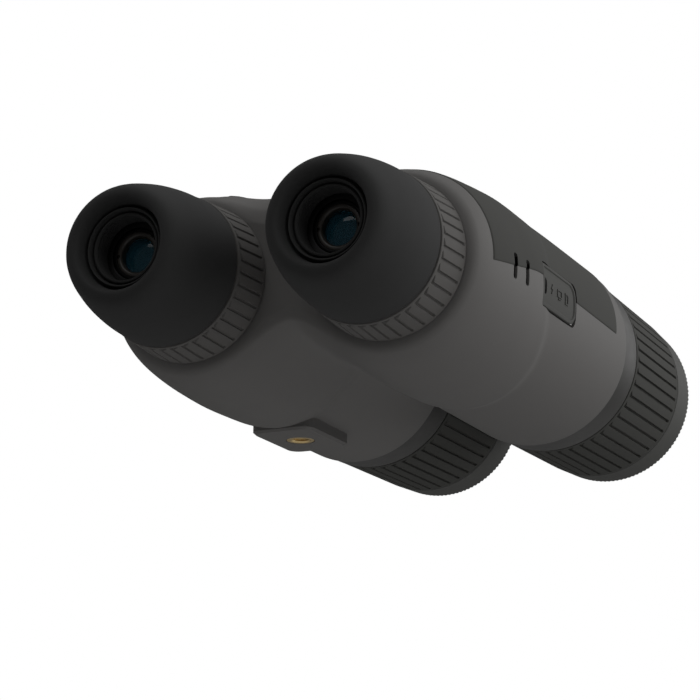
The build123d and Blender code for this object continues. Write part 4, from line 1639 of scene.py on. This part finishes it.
# ------------------------------------------------------------------ rings with ribs
@dataclass(frozen=True)
class Grip:
    """A ribbed grip ring: fine grooves along it, each with a wedge-shaped hook at its rear end."""

    node: str
    body: str
    slot: str
    finish: Finish
    ribs: int
    groove: Point2
    groove_width: float
    depth: float
    hook: Point2
    bore: float
    phase: float
    gap: float = 0.3
    bevel: float = 0.2
    wall_run: float = 0.22

    def build(self, repeat: RoundRepeat) -> None:
        """Make the ring and tie it to its body.

        Args:
            repeat: The tree that repeats a sector.
        """
        span = Span.of(self.node)
        axle = Axle.through(self.node)
        back, front = span.low[1] + self.gap, span.high[1] - self.gap
        big, small = self._radii()
        radius = monotone(((back, big), (front, small)))
        b = self.bevel
        bevels = [(back, -b), (back + b * 0.3, -b * 0.3), (back + b, 0.0)]
        start, stop = self.groove
        hook_rows = start + np.linspace(-0.2, self.hook[0] + 0.3, 12)
        tail = np.array([0.3, 0.15, 0.0, -0.15, -0.3])
        inner_rows = np.linspace(hook_rows[-1] + 1.0, stop - 1.5, 5)
        ys = np.concatenate(
            [[start - 1.0, start - 0.4], hook_rows, inner_rows, stop - tail, [stop + 1.0]]
        )
        rows = [(float(radius(y)) + d, float(y)) for y, d in bevels]
        rows += [(float(radius(y)), float(y)) for y in ys]
        rows += [
            (float(radius(y)) + d, float(y))
            for y, d in ((front - b, 0.0), (front - b * 0.3, -b * 0.3), (front, -b))
        ]
        inner = [(self.bore, front), (self.bore, back)]
        ring = SectorRing(
            f"{self.node}_grip",
            axle,
            self.ribs,
            rows,
            inner,
            self._columns(big),
            self._dent,
            self.finish,
            self.phase,
        ).build(repeat)
        hand_over(ring, self.body, self.slot, [self.node])

    def _radii(self) -> Point2:
        """Outer radius at the rear and the front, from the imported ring's size.

        Returns:
            The rear and the front radius.
        """
        outer = Span.of(self.node).size[0] / 2
        return (outer, outer - 0.6) if "focus" in self.node else (outer - 1.1, outer)

    def _columns(self, radius: float) -> list[float]:
        """Shares of a sector's width where its shape needs points.

        Args:
            radius: The ring's outer radius, in millimetres.

        Returns:
            The shares, from 0 to 1.
        """
        pitch = math.radians(360.0 / self.ribs) * radius
        half = self.groove_width / 2
        near = np.array([0.0, half * 0.6, half, half + self.wall_run * 0.5, half + self.wall_run]) / pitch
        middle = np.linspace(near[-1], 1 - near[-1], 10)[1:-1]
        return [*near, *middle, *(1 - near[::-1])]

    def _dent(self, share: np.ndarray, radius: np.ndarray, along: np.ndarray) -> np.ndarray:
        """Depth of the groove and its hook at each point.

        Args:
            share: Share of the sector's width.
            radius: Distance from the axis, in millimetres.
            along: Stations along the axis.

        Returns:
            The depth at each point, or for the hood a function that gives it.
        """
        pitch = np.radians(360.0 / self.ribs) * radius
        near = np.minimum(share, 1 - share) * pitch
        wall = smoothstep((self.groove_width / 2 + self.wall_run - near) / self.wall_run)
        start, stop = self.groove
        length = smoothstep((along - start) / 0.3 + 0.5) * smoothstep((stop - along) / 0.3 + 0.5)
        run = share * pitch / self.hook[1]
        depth_of_hook = self.hook[0] * (1.0 - run)
        hook = smoothstep((depth_of_hook - (along - start)) / 0.45 + 0.5) * (run < 1.05)
        hook = hook * smoothstep((along - start) / 0.3 + 0.5)
        return self.depth * np.maximum(wall * length, hook)


@dataclass(frozen=True)
class Hood:
    """Lens hood with very fine teeth round its front edge."""

    side: str
    teeth: int = 120
    tooth_length: float = 1.1
    tooth_depth: float = 0.22
    bore: float = 25.6
    mouth: float = 27.0
    gap: float = 0.3

    def build(self, repeat: RoundRepeat) -> None:
        """Make the hood and tie it to the housing.

        Args:
            repeat: The tree that repeats a sector.
        """
        node = f"lens_hood_{self.side}"
        span = Span.of(node)
        back, front = span.low[1] + self.gap, span.high[1]
        outer = span.size[0] / 2
        lip = front - self.tooth_length
        rows = [
            (outer - 0.3, back), (outer, back + 0.3), (outer - 0.3, (back + lip) / 2),
            (outer - 0.62, lip - 0.2),
        ]
        rows += [
            (outer - 0.63, lip), (outer - 0.64, lip + 0.15), (outer - 0.66, front - 0.35),
            (outer - 0.95, front),
        ]
        inner = [(self.mouth + 0.9, front), (self.mouth + 0.3, front - 0.12), (self.mouth, front - 0.5)]
        threads = []
        for k in range(5):
            y = front - 2.6 - 1.1 * k
            threads += [(self.bore, y), (self.bore + 0.3, y - 0.35), (self.bore + 0.3, y - 0.6)]
        inner += threads + [(self.bore, 112.1), (outer - 3.15, 112.1), (outer - 3.15, back)]
        ring = SectorRing(
            f"{node}_ring", Axle.through(node), self.teeth, rows, inner,
            (0.0, 0.12, 0.24, 0.38, 0.62, 0.76, 0.88, 1.0), self._dent(lip), HOOD,
        ).build(repeat)
        hand_over(ring, "housing", "hood_plastic", [node])

    def _dent(self, lip: float) -> Callable[[np.ndarray, np.ndarray, np.ndarray], np.ndarray]:
        """Depth between the teeth.

        Args:
            lip: Station where the teeth start.

        Returns:
            The depth at each point, or for the hood a function that gives it.
        """

        def dent(share: np.ndarray, radius: np.ndarray, along: np.ndarray) -> np.ndarray:
            """Depth at each point of a sector.

            Args:
                share: Share of the sector's width.
                radius: Distance from the axis, in millimetres.
                along: Stations along the axis.

            Returns:
                The depth at each point.
            """
            gap = smoothstep((0.3 - np.minimum(share, 1 - share)) / 0.14)
            return self.tooth_depth * gap * smoothstep((along - lip) / 0.12) + 0 * radius

        return dent


# ------------------------------------------------------------------ eyepieces
@dataclass(frozen=True)
class Eyepiece:
    """One eyecup with everything seen in its mouth."""

    side: str
    flare: Sequence[Point2] = (
        (0.0, 15.3), (0.25, 16.3), (0.9, 17.4), (2.4, 18.5),
        (7.6, 20.4), (15.2, 22.25), (22.8, 23.3), (30.25, 23.75),
    )

    def build(self) -> None:
        """Make the eyecup, tube, cell, retainer and lens."""
        self._cup()
        self._tube()
        self._cell()
        self._lens()

    def _cup(self) -> None:
        """Soft flared eyecup with its rolled mouth and stepped inside."""
        node = f"eyecup_{self.side}"
        span = Span.of(node)
        rim, base = span.low[1], span.high[1]
        length = base - rim
        flare = monotone(self.flare)
        along = np.concatenate(
            [[0.06, 0.25, 0.55, 0.9, 1.5, 2.4, 3.6], np.linspace(5.0, length - 0.5, 22)]
        )
        outside = [(float(flare(s)), rim + s) for s in along]
        outside += [(float(flare(length)), base - 0.15), (float(flare(length)) - 0.25, base)]
        sleeve = 21.05
        inside = [(sleeve, base), (sleeve, -111.9), (9.7, -111.9)]
        bore = []
        for k in range(6):
            y = -112.2 - 0.85 * k
            bore += [(9.7, y), (9.95, y - 0.25), (9.95, y - 0.5)]
        steps = [
            (9.7, rim + 5.9), (9.85, rim + 5.25), (10.15, rim + 4.95), (10.55, rim + 5.05),
            (10.8, rim + 5.5),
        ]
        steps += [
            (10.9, rim + 6.7), (11.3, rim + 6.7), (11.4, rim + 4.5), (11.6, rim + 4.05),
            (11.95, rim + 3.9),
        ]
        steps += [(12.2, rim + 4.15), (12.35, rim + 6.4), (12.85, rim + 6.4), (13.1, rim + 4.4)]
        roll = [
            (13.25, rim + 3.3), (13.5, rim + 2.1), (13.85, rim + 1.1), (14.35, rim + 0.4),
            (14.85, rim + 0.08),
        ]
        cup = lathe(
            f"{node}_moulding", Axle.through(node), outside + inside + bore + steps + roll, CUP, 192, 40.0
        )
        hand_over(cup, "housing", "eyecup_rubber", [node])

    def _tube(self) -> None:
        """Eyepiece tube, whose end wall frames the cell."""
        node = f"eyepiece_tube_{self.side}"
        span = Span.of(node)
        back, front = span.low[1], span.high[1]
        outline = [(8.0, back), (20.9, back), (20.95, front - 3.0), (21.85, front - 2.5), (21.85, front)]
        outline += [(17.1, front), (17.1, back + 2.0), (8.0, back + 2.0)]
        tube = lathe(f"{node}_barrel", Axle.through(node), softened(outline, 0.25, 2), ANODISED, 128)
        hand_over(tube, "housing", "black_anodised", [node])

    def _cell(self) -> None:
        """Sliding cell and the ring that holds the eye lens, with two spanner notches."""
        axle = Axle.through(f"eyepiece_cell_{self.side}")
        body = f"eyepiece_group_{self.side}"
        span = Span.of(f"eyepiece_cell_{self.side}")
        back, front = span.low[1], span.high[1]
        outline = [
            (6.9, back), (7.9, back), (7.9, back + 3.7), (16.95, back + 3.7), (16.95, front),
            (14.0, front),
        ]
        outline += [(14.0, -102.0), (5.6, -102.0), (5.6, -104.2), (6.9, -104.2)]
        cell = lathe(f"eyepiece_cell_{self.side}_turned", axle, softened(outline, 0.2, 3), ANODISED, 128)
        hand_over(cell, body, "black_anodised", [f"eyepiece_cell_{self.side}"])
        ring_span = Span.of(f"eye_lens_retainer_{self.side}")
        near, far = ring_span.low[1], ring_span.high[1]
        section = [(5.35, near + 0.5), (5.9, near), (6.85, near), (6.85, far), (5.35, far)]
        ring = lathe(
            f"eye_lens_retainer_{self.side}_ring", axle, softened(section, 0.2, 3), RETAINER, 128
        )
        for way in (-1, 1):
            slot = rounded_rectangle(1.0, 1.2, (0.2,) * 4) + np.array([axle.x + way * 6.35, axle.z])
            carve(ring, prism(slot, near - 1.0, near + 0.8, along_y))
        settle(ring, outward=False)
        hand_over(ring, body, "black_anodised", [f"eye_lens_retainer_{self.side}"])

    def _lens(self) -> None:
        """Domed, coated eye lens."""
        node = f"eye_lens_{self.side}"
        span = Span.of(node)
        glass = lens_piece(
            f"{node}_glass", Axle.through(node), span.size[0] / 2, span.low[1], span.high[1], -1.0,
            EYE_GLASS,
        )
        hand_over(glass, f"eyepiece_group_{self.side}", "coated_eye_glass", [node])


RETAINER = Finish("retainer_anodised", linear(52, 48, 44), Kind.PLASTIC, 0.38, 0.25, 0.006, turned=True)


def lens_piece(
    name: str, axle: Axle, radius: float, low: float, high: float, way: float, finish: CoatedLens
) -> bpy.types.Object:
    """A lens with one domed face, carrying its rim attribute.

    Args:
        name: Name of the piece.
        axle: Optical axis.
        radius: Rim radius.
        low: Lowest station.
        high: Highest station.
        way: -1 if the dome faces backwards, 1 if forwards.
        finish: Coated glass.

    Returns:
        The lens object.
    """
    tip, flat = (low, high) if way < 0 else (high, low)
    bulge = 1.0 if way < 0 else 3.4
    shares = np.linspace(0.0, 1.0, 22)
    sphere = (radius**2 + bulge**2) / (2 * bulge)
    rise = np.sqrt(sphere**2 - (shares * radius * 0.985) ** 2) - (sphere - bulge)
    dome = [(float(s * radius * 0.985), float(tip - way * (bulge - h))) for s, h in zip(shares, rise)]
    edge = [
        (radius, dome[-1][1] - way * 0.3), (radius, flat + way * 0.3), (radius * 0.98, flat), (0.0, flat)
    ]
    lens = lathe(name, axle, dome + edge, finish, 96, 50.0)
    # The rim attribute masks the painted rim shade of the coated glass.
    reach = lens.data.attributes.new("rim", "FLOAT", "POINT")
    co = np.zeros(len(lens.data.vertices) * 3)
    lens.data.vertices.foreach_get("co", co)
    co = co.reshape(-1, 3) / MM
    reach.data.foreach_set(
        "value", (np.hypot(co[:, 0] - axle.x, co[:, 2] - axle.z) / radius).astype(np.float32)
    )
    return lens


# ------------------------------------------------------------------ objectives
@dataclass(frozen=True)
class Objective:
    """One front collar, objective tube, lens cell, retaining ring and front lens."""

    side: str

    def build(self) -> None:
        """Make every turned piece of one objective."""
        self._collar()
        self._tube()
        self._cell()
        self._lens()

    def _collar(self) -> None:
        """Dark collar between the housing and the focus ring."""
        node = f"front_collar_{self.side}"
        span = Span.of(node)
        back, front, outer = span.low[1], span.high[1], span.size[0] / 2
        outline = [(27.6, back), (outer, back), (outer - 0.15, front - 0.2), (27.6, front - 0.2)]
        collar = lathe(f"{node}_sleeve", Axle.through(node), softened(outline, 0.5, 4), COLLAR, 160)
        hand_over(collar, "housing", "dark_panel", [node])

    def _tube(self) -> None:
        """Objective tube with baffle grooves inside its mouth."""
        node = f"objective_tube_{self.side}"
        span = Span.of(node)
        back, front = span.low[1], span.high[1]
        outline = [
            (25.05, back), (28.85, back), (28.85, back + 2.4), (27.45, back + 2.6), (27.45, front),
            (25.05, front),
        ]
        for k in range(5):
            y = front - 0.8 - 1.3 * k
            outline += [(25.05, y), (25.4, y - 0.4), (25.4, y - 0.7)]
        outline += [(25.05, front - 7.4)]
        tube = lathe(f"{node}_barrel", Axle.through(node), outline, ANODISED, 128)
        hand_over(tube, "housing", "black_anodised", [node])

    def _cell(self) -> None:
        """Sliding cell with steps round the lens, and its notched retaining ring."""
        body = f"objective_group_{self.side}"
        node = f"objective_cell_{self.side}"
        axle, span = Axle.through(node), Span.of(node)
        back, front = span.low[1], span.high[1]
        outline = [
            (19.5, back), (24.95, back), (24.95, front), (24.0, front), (23.7, front - 0.8),
            (22.9, front - 0.8),
        ]
        outline += [(22.7, front - 0.2), (22.0, front - 0.2), (22.0, back + 2.5), (19.5, back + 2.5)]
        cell = lathe(f"{node}_turned", axle, softened(outline, 0.15, 2), ANODISED, 144)
        hand_over(cell, body, "black_anodised", [node])
        node = f"objective_retainer_{self.side}"
        span = Span.of(node)
        near, far, outer = span.low[1], span.high[1], span.size[0] / 2
        section = [
            (outer - 1.7, near), (outer, near), (outer, far), (outer - 1.0, far),
            (outer - 1.3, near + 1.4),
        ]
        ring = lathe(f"{node}_ring", axle, softened(section, 0.15, 3), ANODISED, 144)
        for way in (-1, 1):
            slot = rounded_rectangle(1.6, 2.4, (0.3,) * 4) + np.array([axle.x + way * outer, axle.z])
            carve(ring, prism(slot, far - 1.0, far + 1.0, along_y))
        settle(ring, outward=False)
        hand_over(ring, body, "black_anodised", [node])

    def _lens(self) -> None:
        """Large coated front lens."""
        node = f"objective_lens_{self.side}"
        span = Span.of(node)
        glass = lens_piece(
            f"{node}_glass", Axle.through(node), span.size[0] / 2, span.low[1], span.high[1], 1.0,
            FRONT_GLASS,
        )
        hand_over(glass, f"objective_group_{self.side}", "coated_front_glass", [node])


# ------------------------------------------------------------------ tripod insert
@dataclass(frozen=True)
class TripodInsert:
    """Brass insert with a real helical thread, a quarter inch with 20 threads to the inch."""

    pitch: float = 1.27
    minor: float = 2.56
    major: float = 3.15
    steps: int = 48

    def build(self) -> None:
        """Make the threaded insert."""
        span = Span.of("tripod_socket")
        x, y, outer = span.mid[0], span.mid[1], span.size[0] / 2
        low, high = span.low[2], span.high[2]
        rows = np.linspace(low + 0.5, high - 0.2, 84)
        turn = np.arange(self.steps) * TAU / self.steps
        wave = (rows[None, :] / self.pitch - turn[:, None] / TAU) % 1.0
        depth = (self.major - self.minor) * (1.0 - np.abs(2.0 * wave - 1.0))
        thread = self.minor + depth
        shell = [(outer - 0.3, low + 0.05), (outer, low + 0.35), (outer, high), (self.major + 0.2, high)]
        ends = np.array(shell)
        radius = np.concatenate([np.full((self.steps, 1), self.major + 0.25), thread], axis=1)
        height = np.concatenate(
            [np.full((self.steps, 1), low + 0.05), rows[None, :] + 0 * turn[:, None]], axis=1
        )
        radius = np.concatenate([radius, np.broadcast_to(ends[::-1, 0], (self.steps, len(ends)))], axis=1)
        height = np.concatenate([height, np.broadcast_to(ends[::-1, 1], (self.steps, len(ends)))], axis=1)
        points = np.stack(
            [x + radius * np.cos(turn)[:, None], y + radius * np.sin(turn)[:, None], height], axis=-1
        )
        faces = grid_faces(self.steps, radius.shape[1], True, True)
        insert = settle(mesh_object("tripod_insert", points.reshape(-1, 3), faces, BRASS), angle=25.0)
        hand_over(insert, "housing", "brass_insert", ["tripod_socket"])


# ------------------------------------------------------------------ pieces kept from the frame
KEPT_FINISHES = {
    BLACK: ("strap_anchor_left", "strap_anchor_right", "battery_cradle"),
    STEEL: ("housing_screws",),
    BRIGHT: ("charge_socket", "video_socket", "card_socket", "heat_sink"),
    SEAL: ("seal_rings",),
    BOARD: ("main_board", "key_board", "sensor_board"),
    DISPLAY: ("display_left", "display_right", "image_sensor"),
    LAMP: ("illuminator",),
    SLEEVE: ("battery_cells",),
    # The field lenses take the eye glass finish with its painted glow.
    EYE_GLASS: ("field_lens_left", "field_lens_right"),
}


def dress_kept_nodes() -> None:
    """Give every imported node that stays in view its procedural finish."""
    for finish, nodes in KEPT_FINISHES.items():
        for node in nodes:
            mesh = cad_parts[node].data
            if mesh.materials:
                mesh.materials[0] = finish.material()
            else:
                mesh.materials.append(finish.material())


# ------------------------------------------------------------------ studio
@dataclass(frozen=True)
class Studio:
    """Pale floor, soft lights and the camera."""

    eye_point: Point3 = (317.40, -715.97, -179.83)
    target: Point3 = (-3.98, -24.0, 22.17)
    camera_up: Point3 = (0.1027, -0.2345, 0.9667)
    lens: float = 126.9
    floor_z: float = -450.0
    ambient: float = 0.075

    def build(self) -> None:
        """Set up the whole studio."""
        self._camera()
        self._floor()
        self._world()
        self._lamp("front_light", (650.0, 650.0, 350.0), 700.0, 3.5)
        self._lamp("side_light", (950.0, -150.0, 330.0), 700.0, 3.3)
        self._lamp("top_light", (0.0, 0.0, 1000.0), 700.0, 2.4)
        self._lamp("rear_light", (0.0, -700.0, 750.0), 700.0, 1.6)
        self._lamp("low_light", (600.0, -100.0, -400.0), 700.0, 0.45)
        self._lamp("left_light", (-950.0, -400.0, 300.0), 600.0, 0.8)
        bpy.context.scene.view_settings.view_transform = "Standard"

    def _camera(self) -> None:
        """Camera behind, below and to the right."""
        data = bpy.data.cameras.new("camera")
        data.lens, data.sensor_width = self.lens, 36.0
        data.clip_start, data.clip_end = 0.05, 20.0
        camera = bpy.data.objects.new("camera", data)
        back = (Vector(self.eye_point) - Vector(self.target)).normalized()
        right = Vector(self.camera_up).cross(back).normalized()
        up = back.cross(right)
        turn = Matrix((right, up, back)).transposed().to_4x4()
        camera.matrix_world = Matrix.Translation(Vector(self.eye_point) * MM) @ turn
        bpy.context.scene.collection.objects.link(camera)
        bpy.context.scene.camera = camera

    def _floor(self) -> None:
        """Plain pale floor, well below the raised object."""
        half = 6000.0
        corners = [(-half, -half), (half, -half), (half, half), (-half, half)]
        paint = Finish("floor_paint", (0.8, 0.8, 0.8), Kind.PLASTIC, 0.9, 3.0, 0.0, 0.01)
        floor = mesh_object("floor", [(x, y, self.floor_z) for x, y in corners], [[0, 1, 2, 3]], paint)

    def _world(self) -> None:
        """White surround for the eye, dimmer as a light."""
        world = bpy.data.worlds.new("surround")
        bpy.context.scene.world = world
        world.use_nodes = True
        tree = world.node_tree
        tree.nodes.clear()
        path = tree.nodes.new("ShaderNodeLightPath")
        seen, lighting = (tree.nodes.new("ShaderNodeBackground") for _ in range(2))
        seen.inputs["Color"].default_value = (1.0, 1.0, 1.0, 1.0)
        lighting.inputs["Color"].default_value = (self.ambient, self.ambient, self.ambient, 1.0)
        mix = tree.nodes.new("ShaderNodeMixShader")
        output = tree.nodes.new("ShaderNodeOutputWorld")
        tree.links.new(path.outputs["Is Camera Ray"], mix.inputs["Fac"])
        tree.links.new(lighting.outputs[0], mix.inputs[1])
        tree.links.new(seen.outputs[0], mix.inputs[2])
        tree.links.new(mix.outputs[0], output.inputs["Surface"])

    def _lamp(self, name: str, place: Point3, size: float, power: float) -> None:
        """A large soft lamp aimed at the object.

        Args:
            name: Name of the lamp.
            place: Where it stands, in millimetres.
            size: Side of the lamp, in millimetres.
            power: Power in watts.
        """
        data = bpy.data.lights.new(name, "AREA")
        data.energy, data.size = power, size * MM
        lamp = bpy.data.objects.new(name, data)
        lamp.location = Vector(place) * MM
        way = Vector((0.0, 0.0, 35.0)) - Vector(place)
        lamp.rotation_euler = way.to_track_quat("-Z", "Y").to_euler()
        bpy.context.scene.collection.objects.link(lamp)


def main() -> None:
    """Build every sub-assembly in order, then the studio."""
    logging.basicConfig(level=logging.INFO, format="%(name)s: %(message)s")
    barrel = Axle.through("focus_ring_right")
    eye = Axle.through("eyecup_right")
    repeat = RoundRepeat()
    form = HousingForm(barrel, eye, Span.of("lower_housing").low[1], Span.of("lower_housing").high[1])
    Housing(form).build()
    for side in SIDES:
        Eyepiece(side).build()
        Grip(
            f"dioptre_ring_{side}", f"dioptre_ring_{side}", "dioptre_ring_grip", DIOPTRE,
            ribs=40, groove=(-91.2, -78.2), groove_width=0.55, depth=0.6,
            hook=(1.3, 2.2), bore=21.05, phase=2.2,
        ).build(repeat)
        Objective(side).build()
        Grip(
            f"focus_ring_{side}", f"focus_ring_{side}", "focus_ring_grip", FOCUS,
            ribs=48, groove=(62.0, 105.8), groove_width=0.6, depth=0.8,
            hook=(1.6, 1.6), bore=27.55, phase=10.4,
        ).build(repeat)
        Hood(side).build(repeat)
    PortCover(barrel).build()
    for name, sign in KEY_NAMES.items():
        Key(name, sign).build()
    TripodInsert().build()
    dress_kept_nodes()
    Studio().build()


if __name__ == "__main__":
    main()
